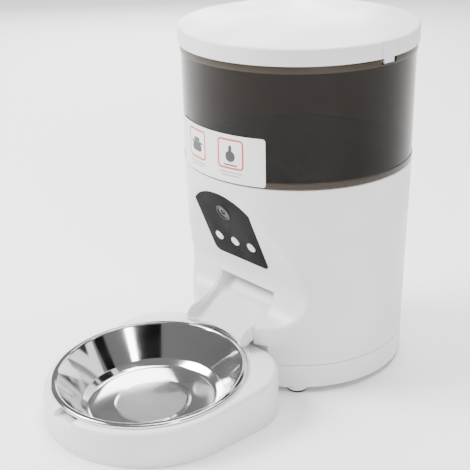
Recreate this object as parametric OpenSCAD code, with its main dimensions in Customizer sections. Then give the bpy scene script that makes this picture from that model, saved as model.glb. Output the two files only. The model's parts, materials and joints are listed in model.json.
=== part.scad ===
// Automatic pet feeder: a round tower with a smoked food tank, a scooped front that
// carries the camera and buttons, and a docked tray with a steel bowl.
// Millimetres. +Z is up, the front (the bowl) faces -Y, and the origin is on the floor
// at the middle of the whole footprint. The tower's own axis stands at y = tower_y, and
// every module below draws in the tower's own frame, with that axis at x = y = 0.

/* [Tower] */
// Diameter of the lid, the widest part of the tower
lid_d = 200; // [180:1:240]
// Height of the lid's rim and top
lid_h = 14; // [12:0.5:18]
// Height of the food tank that shows between lid and body
tank_h = 99; // [80:1:140]
// Height of the body shell
body_h = 158.5; // [135:0.5:200]
// Height of the base ring under the body shell
base_h = 20.5; // [17:0.5:26]
// Gap between the base and the floor
foot_h = 5; // [4:0.5:8]
// How far the body's top edge stands inside the lid's edge
body_top_inset = 2.8; // [2:0.1:5]
// How far the body's foot stands inside the lid's edge
body_foot_inset = 6.5; // [4:0.1:9]
// Wall of the moulded shells
wall = 2.5; // [2:0.1:3]

/* [Scooped front] */
// Distance from the body's top edge down to where the scoop starts
scoop_drop = 8; // [6:0.5:14]
// Lean of the scoop's face from upright, in degrees
scoop_lean = 23; // [20:0.1:25]
// Fall of the scoop's floor towards the bowl, in degrees
scoop_fall = 10; // [8:0.1:14]
// Radius between the scoop's face and its floor
scoop_r = 26.5; // [22:0.5:30]
// Height of that radius' centre above the floor
scoop_mid = 85.7; // [82:0.1:95]
// Wall of the scoop, thicker than the shell because it carries the panel
scoop_wall = 3; // [2.5:0.1:3.5]

/* [Control panel] */
// Width of the dark fascia
fascia_w = 66; // [62:0.1:68]
// Height of the fascia along its slope, to the crown of its top edge
fascia_h = 73.5; // [70:0.1:75]
// Radius of the fascia's arched top edge
fascia_arch_r = 45; // [42:0.5:50]
// Radius of the fascia's lower corners
fascia_corner_r = 6; // [3:0.5:9]
// Thickness of the fascia
fascia_t = 1.5; // [1.2:0.1:2]
// Distance along the slope from the end of the scoop's round to the fascia's foot
fascia_gap = 7.3; // [5:0.1:9]
// Diameter of a button
button_d = 8.8; // [7:0.1:10]
// Distance between buttons
button_pitch = 19.7; // [17:0.1:21]
// Height of the buttons above the fascia's foot
button_rise = 20.8; // [18:0.1:24]
// Travel of a button
button_travel = 0.8; // [0.4:0.1:0.9]
// Diameter of the camera window
window_d = 12; // [10:0.1:14]
// Height of the camera window above the fascia's foot
window_rise = 53; // [48:0.1:55]

/* [Chute] */
// Outer width of the chute
chute_w = 70; // [60:0.5:72]
// Wall of the chute
chute_wall = 2; // [1.6:0.1:2.4]
// Height of the chute's lip above the floor
lip_z = 45.6; // [45:0.1:48]
// How far the chute's nose reaches past the foot of the body shell
nose_reach = 8.2; // [6:0.1:10]

/* [Tray and bowl] */
// Distance from the tower's axis to the bowl's centre
bowl_reach = 171.2; // [168:0.1:185]
// Diameter over the bowl's rim
bowl_d = 161.6; // [140:0.2:164]
// Width of the bowl's rolled rim
rim_w = 5.2; // [4:0.1:8]
// Depth of the bowl below its rim
bowl_depth = 31; // [24:0.5:32]
// Diameter of the bowl's flat floor
bowl_floor_d = 118; // [100:1:124]
// Sheet of the bowl
sheet = 0.8; // [0.6:0.1:1]
// Width of the tray, which is also twice the radius of its front
tray_w = 174; // [168:1:190]
// Radius of the tray's rear corners
tray_corner_r = 46; // [40:1:60]
// Distance from the tower's axis to the tray's rear edge
tray_rear = 82; // [80:0.5:86]
// Height of the tray's top at the bowl's centre
tray_h = 34.3; // [33:0.1:37]
// Slope of the tray's top down towards the front, in degrees
tray_slope = 3.5; // [0:0.1:4]
// Wall of the tray
tray_wall = 2.5; // [2:0.1:3]
// Width of the finger notch at the tray's front
notch_w = 24; // [18:1:36]

/* [Feeding wheel] */
// Number of pockets in the feeding wheel
pockets = 6; // [4:1:8]
// Inner diameter of the wheel's cup
cup_d = 92; // [84:1:94]
// Inner height of the wheel's cup
cup_h = 23; // [20:0.5:25]
// Height of the inner deck above the floor
deck_z = 108; // [106:0.5:112]

/* [Drive] */
// Module of the gears' teeth
gear_m = 1; // [0.8:0.1:1]
// Teeth of the drive gear
drive_teeth = 30; // [26:2:30]
// Teeth of the idler's small gear
idler_small_teeth = 12; // [12:2:16]
// Teeth of the motor pinion
pinion_teeth = 10; // [10:2:14]
// Diameter of the motor's can
motor_d = 24; // [20:0.5:25]

/* [Battery bay] */
// Diameter of the cells the bay takes
cell_d = 34.2; // [26:0.1:34.2]
// Length of those cells
cell_l = 61.5; // [50:0.1:61.5]

/* [Hidden] */
$fn = 96;
over = 0.5;
far = 400;
gap = 0.35;
run_fit = 0.05;

// Heights above the floor
base_top = foot_h + base_h;
body_top = base_top + body_h;
tank_top = body_top + tank_h;
lid_top = tank_top + lid_h;
floor_top = foot_h + wall;

// Radii of the tower
lid_r = lid_d / 2;
body_top_r = lid_r - body_top_inset;
foot_r = lid_r - body_foot_inset;
function body_r(z) = foot_r + (body_top_r - foot_r) * max(0, z - base_top) / body_h;

// Footprint: the lid is the rearmost point, the tray's round front the foremost
tray_r = tray_w / 2;
tower_y = (bowl_reach + tray_r - lid_r) / 2;
module at_tower() translate([0, tower_y, 0]) children();

// The scoop in the tower's Y and Z: a leaning face, a round, and a floor that falls
scoop_top_z = body_top - scoop_drop;
scoop_cy = -body_r(scoop_top_z) - scoop_r * cos(scoop_lean)
           + tan(scoop_lean) * (scoop_top_z - scoop_mid - scoop_r * sin(scoop_lean));
scoop_steps = 24;
function scoop_round(r, from, to) =
    [for (i = [0:scoop_steps])
        let (a = from + (to - from) * i / scoop_steps)
        [scoop_cy + r * cos(a), scoop_mid + r * sin(a)]];
// The scoop's line, its radius grown by "out" towards the inside of the body
function scoop_line(out) =
    let (turn = scoop_round(scoop_r + out, scoop_lean, scoop_fall - 90),
         first = turn[0],
         last = turn[scoop_steps],
         rise = far / 4)
    concat([[first[0] - tan(scoop_lean) * rise, first[1] + rise]], turn,
           [[last[0] - rise, last[1] - tan(scoop_fall) * rise]]);
mouth_top = scoop_mid - 4.5;

// The sloped face that carries the panel: X across, Y up the slope, Z outwards
fascia_foot = let (v = fascia_gap, a = scoop_lean)
    [scoop_cy + scoop_r * cos(a) - v * sin(a), scoop_mid + scoop_r * sin(a) + v * cos(a)];
module on_face(v = 0, w = 0)
    translate([0, fascia_foot[0], fascia_foot[1]])
        rotate([90 + scoop_lean, 0, 0])
            translate([0, v, w]) children();
module at_buttons() for (i = [-1:1]) translate([i * button_pitch, button_rise, 0]) children();
sensor_holes = [10.5, 33.6];
sensor_hole_d = 1.6;
fascia_pocket = fascia_t - 0.3;

// Feet and the screws above them
foot_circle = foot_r - 8.5;
foot_d = 18;
pad_h = 2;
boss_r = 5;
screw_r = 1.5;
head_r = 3;
module at_feet() for (a = [45:90:315]) rotate(a) translate([foot_circle, 0, 0]) rotate(-a) children();
boss_top = base_top + 18;

// Chassis posts
post_x = foot_r - 23;
post_front = -38;
post_rear = 28;
post_foot_z = floor_top + 5;
module at_posts()
    for (x = [-1, 1], y = [post_front, post_rear]) translate([x * post_x, y, 0]) children();
deck_t = 3;
deck_top = deck_z + deck_t;
deck_r = foot_r - 3.5;
deck_front = scoop_cy + scoop_r + scoop_wall + 1;

// Feeding wheel and hopper
cup_r = cup_d / 2;
cup_z = deck_z + deck_t + 4;
cup_floor = 2.5;
cup_top = cup_z + cup_floor + cup_h;
hub_r = 11;
outlet_in = 24;
outlet_x = 19;
dog_r = 6;
socket_r = dog_r + 0.6;
dog_top = cup_z + cup_floor + 8;

// Gear train along the tower's Y axis
mesh_1 = gear_m * (drive_teeth + idler_small_teeth) / 2;
idler_big_teeth = 32;
idler_y = mesh_1;
motor_y = idler_y + gear_m * (idler_big_teeth + pinion_teeth) / 2;
gearbox_z = deck_z - 22;
gearbox_wall = 1.6;
gearbox_lid_t = 3;
pivot_r = 3;
axle_r = 2;
shaft_r = 1.15;
gear_low = gearbox_z + 4;
gear_low_h = 5;
step_z = gear_low + gear_low_h;
gear_high = gear_low + 7;
gear_high_h = 6;
motor_top = gearbox_z;
motor_len = 32;

// Battery bay
cells = 3;
bay_x = cells * cell_d + 2;
bay_y = cell_l + 4;
bay_wall = 1.8;
bay_y0 = -24;
bay_y1 = bay_y0 + bay_y;
bay_top = floor_top + cell_d + 2;
door_lip = 3;

// Tray and bowl
tray_gap = 1;
rim_z = tray_h + 3;
bowl_r = bowl_d / 2;
bowl_mouth_r = bowl_r - rim_w;
floor_r = bowl_floor_d / 2;
well_r = bowl_mouth_r + 1.6;
tray_lift = 0.8;
dock_top = rim_z + sin(tray_slope) * bowl_r + 0.6;
module at_bowl(z) translate([0, -bowl_reach, z]) rotate([tray_slope, 0, 0]) children();

// Chute
chute_in = chute_w / 2 - chute_wall;
slot_w = chute_w + 0.6;
chute_top = deck_z - 0.5;
chute_foot = scoop_cy + scoop_r + scoop_wall + 0.2;

// ---------- shared shapes ----------

// A ring or a solid of revolution from [radius, height] points
module lathe(points) rotate_extrude() polygon(points);

// A tube standing on z
module tube(r, r_in, h) difference() {
    cylinder(r = r, h = h);
    translate([0, 0, -over]) cylinder(r = r_in, h = h + 2 * over);
}

// A slab centred on x, from y0 to y1 and z0 to z1
module slab(x, y0, y1, z0, z1) translate([-x / 2, y0, z0]) cube([x, y1 - y0, z1 - z0]);

// A profile in the Y and Z plane, drawn across x
module across(width) rotate([90, 0, 90]) linear_extrude(width, center = true) children();

// A pan-headed screw, head down, its thread rising from z = 0
module screw(length, r = screw_r, head = head_r, head_h = 2) {
    cylinder(r = r, h = length);
    translate([0, 0, -head_h]) difference() {
        cylinder(r = head, h = head_h);
        translate([0, 0, -over])
            for (a = [0, 90]) rotate(a) translate([-head * 0.6, -0.35, 0]) cube([head * 1.2, 0.7, 1 + over]);
    }
}

// Gear with involute flanks, a tooth centred on +X; the flanks are thinned for backlash
pressure = 24;
backlash = 0.12;
tooth_add = 0.85;
tooth_ded = 1.15;
function inv(a) = tan(a) * 180 / PI - a;
function tooth_half(r, pitch_r, teeth) =
    let (base = pitch_r * cos(pressure),
         a = r > base ? acos(base / r) : 0)
    90 / teeth - backlash / pitch_r * 180 / PI / 2 + inv(pressure) - inv(a);
function tooth(r, a) = [r * cos(a), r * sin(a)];
module gear_2d(teeth) {
    pitch_r = gear_m * teeth / 2;
    root = pitch_r - tooth_ded * gear_m;
    tip = pitch_r + tooth_add * gear_m;
    rings = [for (k = [0:3]) root + (tip - root) * k / 3];
    polygon([for (i = [0:teeth - 1]) let (c = 360 * i / teeth)
        each concat([for (r = rings) tooth(r, c - tooth_half(r, pitch_r, teeth))],
                    [for (k = [3:-1:0]) tooth(rings[k], c + tooth_half(rings[k], pitch_r, teeth))])]);
}

// A lead drawn through its points
module lead(points, r) for (i = [0:len(points) - 2]) hull() {
    translate(points[i]) sphere(r, $fn = 8);
    translate(points[i + 1]) sphere(r, $fn = 8);
}

// ---------- lid ----------

lid_fillet = 2;
latch_w = 17;
latch_depth = 9;
latch_x = lid_r - latch_depth;
latch_hook = 4;
latch_hook_x = lid_r - 2.6;
latch_room = 2;
liner_z = tank_top + 5;
module lid_skin() lathe([
    [0, lid_top], [lid_r - lid_fillet, lid_top],
    for (a = [75:-15:15]) [lid_r - lid_fillet * (1 - cos(a)), lid_top - lid_fillet * (1 - sin(a))],
    [lid_r, lid_top - lid_fillet], [lid_r, tank_top + 0.3], [lid_r - wall, tank_top + 0.3],
    [lid_r - wall, lid_top - wall], [0, lid_top - wall]]);
module latch_gate(grow) for (s = [-1, 1]) scale([s, 1, 1])
    translate([latch_x - grow, -latch_w / 2 - grow, tank_top - over])
        cube([latch_depth + over + grow, latch_w + 2 * grow, lid_h + 2 * over]);
module lid_shell() color("white") at_tower() {
    difference() {
        lid_skin();
        latch_gate(gap);
    }
    at_lid_screws() translate([0, 0, wall]) tube(4, screw_r, lid_top - wall - liner_z - wall);
}
module latch() {
    intersection() {
        lid_skin();
        translate([latch_x, -latch_w / 2, tank_top - over])
            cube([latch_depth + over, latch_w, lid_h + 2 * over]);
    }
    translate([latch_hook_x, -latch_w / 2 + 3, tank_top - latch_hook])
        cube([1.4, latch_w - 6, latch_hook + 5]);
}
module latch_left() color("white") at_tower() mirror([1, 0, 0]) latch();
module latch_right() color("white") at_tower() latch();

skirt_r = lid_r - 8;
lid_screw_circle = 60;
module at_lid_screws() for (a = [45:90:315]) rotate(a) translate([lid_screw_circle, 0, liner_z]) children();
module lid_liner() color("whitesmoke") at_tower() difference() {
    union() {
        lathe([[0, liner_z], [skirt_r, liner_z], [skirt_r, liner_z + wall], [0, liner_z + wall]]);
        lathe([[skirt_r - 2, tank_top - 7], [skirt_r, tank_top - 7], [skirt_r, tank_top - 4.5],
               [skirt_r - 0.8, tank_top - 4.5], [skirt_r - 0.8, tank_top - 2], [skirt_r, tank_top - 2],
               [skirt_r, liner_z + 1], [skirt_r - 2, liner_z + 1]]);
    }
    at_lid_screws() translate([0, 0, -over]) cylinder(r = screw_r + 0.2, h = wall + 2 * over);
    latch_gate(latch_room);
}
module lid_seal() color("gainsboro") at_tower()
    lathe([[skirt_r - 0.8, tank_top - 4.4], [skirt_r + 1, tank_top - 4.4],
           [tank_mouth_r - gap, tank_top - 3.6], [tank_mouth_r - gap, tank_top - 3],
           [skirt_r + 1, tank_top - 2.1], [skirt_r - 0.8, tank_top - 2.1]]);
module lid_screws() color("silver") at_tower() at_lid_screws() screw(6);
module desiccant_box() color("white") at_tower() difference() {
    union() {
        translate([0, 0, liner_z - 12]) cylinder(r = 32, h = 12);
        translate([0, 0, liner_z - 1.5]) cylinder(r = 36, h = 1.5);
    }
    translate([0, 0, liner_z - 10.5]) cylinder(r = 30.5, h = 12);
    for (i = [-3:3], j = [-3:3]) if (norm([i, j]) < 3.3)
        translate([i * 8, j * 8, liner_z - 13]) cylinder(r = 1.5, h = 4, $fn = 24);
}

// ---------- tank ----------

collar_h = 5.8;
collar_step = 0.5;
band_h = 5.5;
tank_top_r = lid_r - 1.4;
tank_wall = 2.2;
tank_foot_r = body_top_r + 0.2;
tank_mouth_r = tank_top_r - tank_wall - collar_step;
tank_floor_r = tank_foot_r - tank_wall - 0.6;
seat_r = tank_foot_r - 11;
seat_h = 2.5;
skirt_out_r = body_top_r - wall - 1.2;
skirt_in_r = skirt_out_r - 2;
skirt_h = 6;
funnel_screw_circle = (seat_r + skirt_in_r) / 2;
wall_foot_z = body_top + band_h;
wall_head_z = tank_top - collar_h;
function tank_skin_r(z) = tank_foot_r - collar_step
    + (tank_top_r - tank_foot_r) * max(0, z - wall_foot_z) / (wall_head_z - wall_foot_z);
module at_funnel_screws() for (a = [30:60:330])
    rotate(a) translate([funnel_screw_circle, 0, body_top]) children();
module food_tank() color([0.28, 0.22, 0.15, 0.6]) at_tower() difference() {
    lathe([[skirt_in_r, body_top - skirt_h], [skirt_out_r, body_top - skirt_h], [skirt_out_r, body_top],
           [tank_foot_r, body_top], [tank_foot_r, wall_foot_z], [tank_skin_r(wall_foot_z), wall_foot_z],
           [tank_skin_r(wall_head_z), wall_head_z], [tank_top_r, wall_head_z], [tank_top_r, tank_top],
           [tank_mouth_r, tank_top], [tank_floor_r, wall_foot_z], [tank_floor_r, body_top + seat_h],
           [seat_r, body_top + seat_h], [seat_r, body_top], [skirt_in_r, body_top]]);
    for (s = [-1, 1]) scale([s, 1, 1])
        translate([latch_hook_x - latch_room, -latch_w / 2 - 0.6, tank_top - latch_hook - 0.6])
            cube([12, latch_w + 1.2, latch_hook + 2]);
    at_funnel_screws() translate([0, 0, -over]) cylinder(r = 1.2, h = seat_h + 2 * over);
}
label_half = 30;
label_foot = body_top + 1.2;
label_head = body_top + 41;
label_t = 0.3;
module label_skin(out, z0, z1) lathe([[0, z0], [tank_skin_r(z0) + collar_step + out, z0],
    [tank_skin_r(z1) + collar_step + out, z1], [0, z1]]);
module tank_label() color("white") at_tower() intersection() {
    difference() {
        label_skin(label_t + 0.05, label_foot, label_head);
        label_skin(0.05, label_foot - 1, label_head + 1);
    }
    translate([0, 0, label_foot - 1]) rotate(-90) linear_extrude(label_head - label_foot + 2)
        polygon([[0, 0], lid_r * [1.5, -1.5 * tan(label_half)], lid_r * [1.5, 1.5 * tan(label_half)]]);
}

flange_h = 2;
cone_foot_z = cup_top + 1.5;
module hopper_funnel() color([0.22, 0.19, 0.16]) at_tower() difference() {
    lathe([[tank_floor_r - 0.3, body_top + seat_h], [tank_floor_r - 0.3, body_top + seat_h + flange_h],
           [seat_r - 2, body_top + seat_h + flange_h], [cup_r, cone_foot_z], [cup_r, cup_z + cup_floor],
           [0, cup_z + cup_floor], [0, cup_z], [cup_r + 2, cup_z], [cup_r + 2, cup_top],
           [seat_r - 0.5, body_top + 1], [seat_r - 0.5, body_top + seat_h]]);
    translate([0, 0, cup_z - over]) cylinder(r = socket_r + 1, h = cup_floor + 2 * over);
    outlet(cup_z - over, cup_z + cup_floor + over);
    at_funnel_screws() cylinder(r = 1.2, h = seat_h + flange_h + over);
}
// The opening that the food drops through
module outlet(z0, z1) intersection() {
    translate([0, 0, z0]) tube(cup_r - 2, outlet_in, z1 - z0);
    slab(2 * outlet_x, -cup_r, 0, z0, z1);
}
module funnel_screws() color("silver") at_tower()
    at_funnel_screws() screw(seat_h + flange_h - 0.4, 1.1, 2.2, 1.5);

// Plate over the outlet, so that only the wheel brings food to it
cover_z = cone_foot_z + 1.1;
module wheel_cover() color("dimgray") at_tower() difference() {
    translate([0, 0, cover_z]) intersection() {
        cylinder(r = cup_r + 0.6, h = 2);
        slab(cup_d + 4, -cup_r - 2, 12, -over, 3);
    }
    translate([0, 0, cover_z - over]) cylinder(r = 8, h = 3);
}

hub_z = cup_z + cup_floor + 0.5;
hub_top = cup_top - 0.5;
blade_t = 2.4;
blade_root = hub_r - 3;
blade_r = cup_r - 0.5;
blade_turn = 270 + 180 / pockets;
module blades(grow) for (i = [0:pockets - 1]) rotate(blade_turn + 360 * i / pockets)
    translate([blade_root, -blade_t / 2, hub_z + 0.5 - grow])
        cube([blade_r - blade_root, blade_t, hub_top - hub_z - 1 + 2 * grow]);
stirrer_r = 4;
module feeding_wheel() color("gainsboro") at_tower() difference() {
    translate([0, 0, hub_z]) cylinder(r = hub_r, h = hub_top - hub_z);
    translate([0, 0, hub_z - over]) cylinder(r = socket_r, h = dog_top + 0.6 - hub_z + over, $fn = 6);
    translate([0, 0, hub_top - 6]) cylinder(r = stirrer_r, h = 6 + over);
    blades(0);
}
module wheel_blades() color([0.85, 0.85, 0.83]) at_tower() blades(0);
module stirrer() color("gainsboro") at_tower() {
    translate([0, 0, hub_top - 6]) cylinder(r = stirrer_r, h = 36);
    for (a = [0, 180]) rotate(a) translate([0, 0, cover_z + 14]) rotate([0, 75, 0]) cylinder(r = 2.5, h = 36);
}

// ---------- body ----------

module shell_cone(inset, z0, z1)
    lathe([[0, z0], [body_r(z0) - inset, z0], [body_r(z1) - inset, z1], [0, z1]]);
module scoop_space(out = 0) across(far)
    polygon(concat(scoop_line(out), [[-far, -far / 4], [-far, far]]));
module tray_outline(grow) {
    translate([0, -bowl_reach]) circle(tray_r + grow);
    for (s = [-1, 1]) translate([s * (tray_r - tray_corner_r), -tray_rear - tray_corner_r])
        circle(tray_corner_r + grow);
    translate([-tray_r - grow, -bowl_reach])
        square([2 * (tray_r + grow), bowl_reach - tray_rear - tray_corner_r]);
    translate([tray_corner_r - tray_r, -bowl_reach])
        square([2 * (tray_r - tray_corner_r), bowl_reach - tray_rear + grow]);
}
module dock(grow, z0, z1) translate([0, 0, z0]) linear_extrude(z1 - z0) tray_outline(grow);
slot_foot = dock_top - 0.1;
slot_rear = deck_front - 1;
chute_nose = -foot_r - nose_reach;
// Opening in the shell's front for the chute, under and in front of the scoop
module chute_slot() across(slot_w) polygon([[-far, slot_foot], [-tray_rear - 2.5, slot_foot],
    [-tray_rear + 3, lip_z + 4.4], [slot_rear, lip_z + 12.4], [slot_rear, mouth_top], [-far, mouth_top]]);
module body_shell() color("white") at_tower() {
    difference() {
        union() {
            difference() {
                shell_cone(0, base_top, body_top);
                shell_cone(wall, base_top - over, body_top + over);
            }
            intersection() {
                shell_cone(0.1, base_top, body_top);
                union() {
                    difference() {
                        scoop_space(scoop_wall);
                        translate([0, 0, -far]) slab(far, -far, far, 0, far);
                    }
                    dock(tray_gap + wall, base_top, dock_top + wall);
                }
            }
        }
        scoop_space();
        dock(tray_gap, 0, dock_top);
        chute_slot();
        on_face(0, -fascia_pocket) fascia_blank(0.15, 5);
        on_face() at_buttons() translate([0, 0, -10]) cylinder(r = button_d / 2 + gap, h = 20);
        on_face(window_rise, -10) cylinder(r = window_d / 2 + 1.6, h = 20);
        for (v = sensor_holes) on_face(v, -10) cylinder(r = sensor_hole_d / 2, h = 20, $fn = 24);
    }
    at_feet() translate([0, 0, base_top]) tube(boss_r, screw_r, boss_top - base_top);
    for (a = [45:90:315]) rotate(a) translate([foot_circle + boss_r - over, -1, base_top])
        cube([foot_r - wall - foot_circle - boss_r + 1.2, 2, boss_top - base_top]);
    at_panel_bosses() translate([0, 0, board_w]) tube(panel_boss_r, 1, -scoop_wall - board_w + 0.3);
}
board_w = -8.6;
module at_panel_bosses() on_face(button_rise)
    for (x = [-1, 1]) translate([x * panel_boss_x, 0, 0]) children();
button_flange_r = button_d / 2 + 1.2;
panel_boss_r = 2.4;
panel_boss_x = button_pitch + button_flange_r + panel_boss_r + 0.6;

module foot_shape(r, z0, z1) at_feet() translate([0, 0, z0]) cylinder(r = r, h = z1 - z0);
vents = 9;
speaker_x = -24;
speaker_y = 64;
speaker_r = 18;
socket_a = 68;
socket_z = foot_h + base_h / 2;
module at_socket() rotate(socket_a) translate([foot_r, 0, socket_z]) rotate([0, 90, 0]) children();
module base_tub() color("white") at_tower() difference() {
    union() {
        difference() {
            translate([0, 0, foot_h]) cylinder(r = foot_r, h = base_h);
            translate([0, 0, floor_top]) cylinder(r = foot_r - wall, h = base_h);
        }
        intersection() {
            translate([0, 0, foot_h]) cylinder(r = foot_r - 0.1, h = base_h);
            dock(tray_gap + wall, foot_h, base_top);
        }
        foot_shape(foot_d / 2, pad_h, foot_h + over);
        at_feet() translate([0, 0, foot_h + over]) cylinder(r = boss_r, h = base_h - over);
        at_posts() translate([0, 0, foot_h + over]) cylinder(r = boss_r, h = post_foot_z - foot_h - over);
    }
    dock(tray_gap, 0, base_top + over);
    for (s = [-1, 1]) translate([s * tongue_x, 0, 0])
        slab(10.8, -tray_rear - 1, -tray_rear + 10, tongue_z - 0.4, tongue_z + 4.4);
    at_feet() translate([0, 0, pad_h - over]) cylinder(r = head_r + 0.4, h = foot_h + 4);
    at_feet() cylinder(r = screw_r + 0.2, h = far);
    at_posts() translate([0, 0, foot_h - over]) cylinder(r = head_r + 0.4, h = 3.5);
    at_posts() cylinder(r = screw_r + 0.2, h = far);
    slab(bay_x - 2 * door_lip, bay_y0 + door_lip, bay_y1 - door_lip, 0, far);
    slab(bay_x + 2 * gap, bay_y0 - gap, bay_y1 + gap, 0, floor_top - 1);
    translate([speaker_x, speaker_y, foot_h - over])
        for (i = [0:vents - 1], ring = [0, 1]) rotate(360 * i / vents + 20 * ring)
            translate([6 + 5 * ring, 0, 0]) cylinder(r = 1.4, h = wall + 2 * over, $fn = 24);
    at_socket() translate([0, 0, -wall - 2]) cylinder(r = 4.1, h = wall + 4);
}
module foot_pads() color([0.1, 0.1, 0.1]) at_tower() foot_shape(foot_d / 2 - 0.5, 0, pad_h);
module base_screws() color("silver") at_tower()
    at_feet() translate([0, 0, foot_h + 3.5 + over]) screw(base_h + 6);
module chassis_screws() color("silver") at_tower() at_posts() translate([0, 0, foot_h + 3]) screw(14);

module chassis() color([0.86, 0.86, 0.88]) at_tower() difference() {
    union() {
        intersection() {
            translate([0, 0, deck_z]) cylinder(r = deck_r, h = deck_t);
            slab(far, deck_front, far, 0, far);
        }
        at_posts() translate([0, 0, post_foot_z]) cylinder(r = boss_r, h = deck_z - post_foot_z + over);
        intersection() {
            translate([0, 0, deck_top - over]) tube(cup_r, outlet_in - 2, cup_z - deck_top - 0.5 + over);
            slab(2 * outlet_x + 4, -cup_r, 0, 0, far);
        }
        for (x = [-board_leg, board_leg])
            translate([x, 0, 0]) slab(8, board_y - 4, board_y, board_z0, deck_z + over);
    }
    outlet(deck_z - over, cup_z);
    translate([0, 0, deck_z - over]) cylinder(r = socket_r + 1, h = deck_t + 2 * over);
    at_posts() cylinder(r = screw_r, h = post_foot_z + 20);
    at_gearbox_screws() cylinder(r = thread_r, h = 40);
    at_board_screws() cylinder(r = thread_r, h = 10);
}

// ---------- chute ----------

// The ramp's top surface from the deck down to the lip, as [y, z]
ramp = [[-26, chute_top], [-50, 73], [-57, 65], [-79, 53.5],
    [chute_nose + 6.5, lip_z], [chute_nose - 9, lip_z]];
ramp_t = 2.4;
lip_r = bowl_r - 1.3;
module chute_side() polygon(concat(
    [ramp[0], [-48, chute_top], [chute_foot, mouth_top + 9], [chute_foot, mouth_top]],
    [for (a = [-10:-5:scoop_fall - 90])
        [scoop_cy + (scoop_r + 0.3) * cos(a), scoop_mid + (scoop_r + 0.3) * sin(a)]],
    [[chute_nose + 6, lip_z + 12.7], [chute_nose + 3, lip_z + 10.5], [chute_nose + 0.5, lip_z + 7.3],
     [chute_nose, lip_z + 5], [chute_nose + 1, lip_z], [chute_nose + 2.5, lip_z - 2]],
    [for (i = [4:-1:1]) ramp[i] + [i == 4 ? 1.5 : 1.3, i == 4 ? -2 : -ramp_t], ramp[0] + [2, 0]]));
module chute() color("white") at_tower() difference() {
    across(chute_w) chute_side();
    across(2 * chute_in) polygon(concat(
        [[ramp[0][0], chute_top + over], [-46, chute_top + over], [chute_foot + 2, mouth_top + 9],
         [chute_foot + 2, mouth_top + 1], [-far, mouth_top + 1], [-far, lip_z]],
        [for (i = [4:-1:1]) ramp[i]]));
    intersection() {
        translate([0, -bowl_reach, 0]) cylinder(r = lip_r, h = lip_z + 1);
        slab(2 * chute_in, -far, 0, 0, lip_z + 1);
    }
}
sensor_y = -48;
sensor_z = 84;
module kibble_sensors() color([0.15, 0.15, 0.16]) at_tower() for (s = [-1, 1])
    translate([s * (chute_w / 2 + 3), 0, 0]) slab(6, sensor_y - 5, sensor_y + 5, sensor_z, sensor_z + 10);

// ---------- panel ----------

module fascia_2d(grow) intersection() {
    translate([0, fascia_h - fascia_arch_r]) circle(fascia_arch_r + grow);
    union() {
        half = fascia_w / 2;
        corner = fascia_corner_r;
        translate([-half - grow, corner]) square([2 * (half + grow), fascia_h]);
        translate([corner - half, -grow]) square([2 * (half - corner), fascia_h]);
        for (s = [-1, 1]) translate([s * (half - corner), corner]) circle(corner + grow);
    }
}
module fascia_blank(grow, h) linear_extrude(h) fascia_2d(grow);
bezel_r = window_d / 2 + 1.5;
module control_fascia() color([0.16, 0.16, 0.17]) at_tower() difference() {
    on_face(0, -fascia_pocket) fascia_blank(0, fascia_t);
    on_face() at_buttons() translate([0, 0, -5]) cylinder(r = button_d / 2 + gap, h = 10);
    on_face(window_rise, -5) cylinder(r = bezel_r, h = 10);
    for (v = sensor_holes) on_face(v, -5) cylinder(r = sensor_hole_d / 2, h = 10, $fn = 24);
}
module camera_bezel() color([0.1, 0.1, 0.1]) at_tower()
    on_face(window_rise, -scoop_wall) tube(bezel_r, window_d / 2 + 0.05, scoop_wall + 0.9);
module camera_window() color([0.05, 0.06, 0.09]) at_tower()
    on_face(window_rise, -scoop_wall) cylinder(r = window_d / 2, h = scoop_wall + 0.3);
module camera_module() color([0.1, 0.25, 0.15]) at_tower() {
    on_face(window_rise, -scoop_wall - 9) cylinder(r = 5, h = 8.9);
    on_face(window_rise, -scoop_wall - 10.5) translate([-11, -11, 0]) cube([22, 22, 1.5]);
}
button_top = 0.9;
flange_top = -scoop_wall - 0.4;
module button(i) color("white") at_tower() on_face() translate([i * button_pitch, button_rise, 0]) {
    translate([0, 0, flange_top - 1]) cylinder(r = button_d / 2, h = button_top - flange_top + 1);
    translate([0, 0, flange_top - 1]) cylinder(r = button_flange_r, h = 1);
}
module button_left() button(-1);
module button_middle() button(0);
module button_right() button(1);
module button_switches() color([0.12, 0.12, 0.12]) at_tower() on_face() at_buttons() {
    translate([-3, -3, board_w]) cube([6, 6, 2.2]);
    translate([0, 0, board_w + 2.1]) cylinder(r = 1.5, h = flange_top - button_travel - board_w - 3.2);
}
module button_board() color([0.1, 0.35, 0.2]) at_tower() difference() {
    on_face(button_rise - 9, board_w - 1.6)
        translate([-panel_boss_x - 3.5, 0, 0]) cube([2 * panel_boss_x + 7, 18, 1.6]);
    at_panel_bosses() translate([0, 0, board_w - 3]) cylinder(r = 1.1, h = 4, $fn = 32);
}

// ---------- drive ----------

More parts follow.
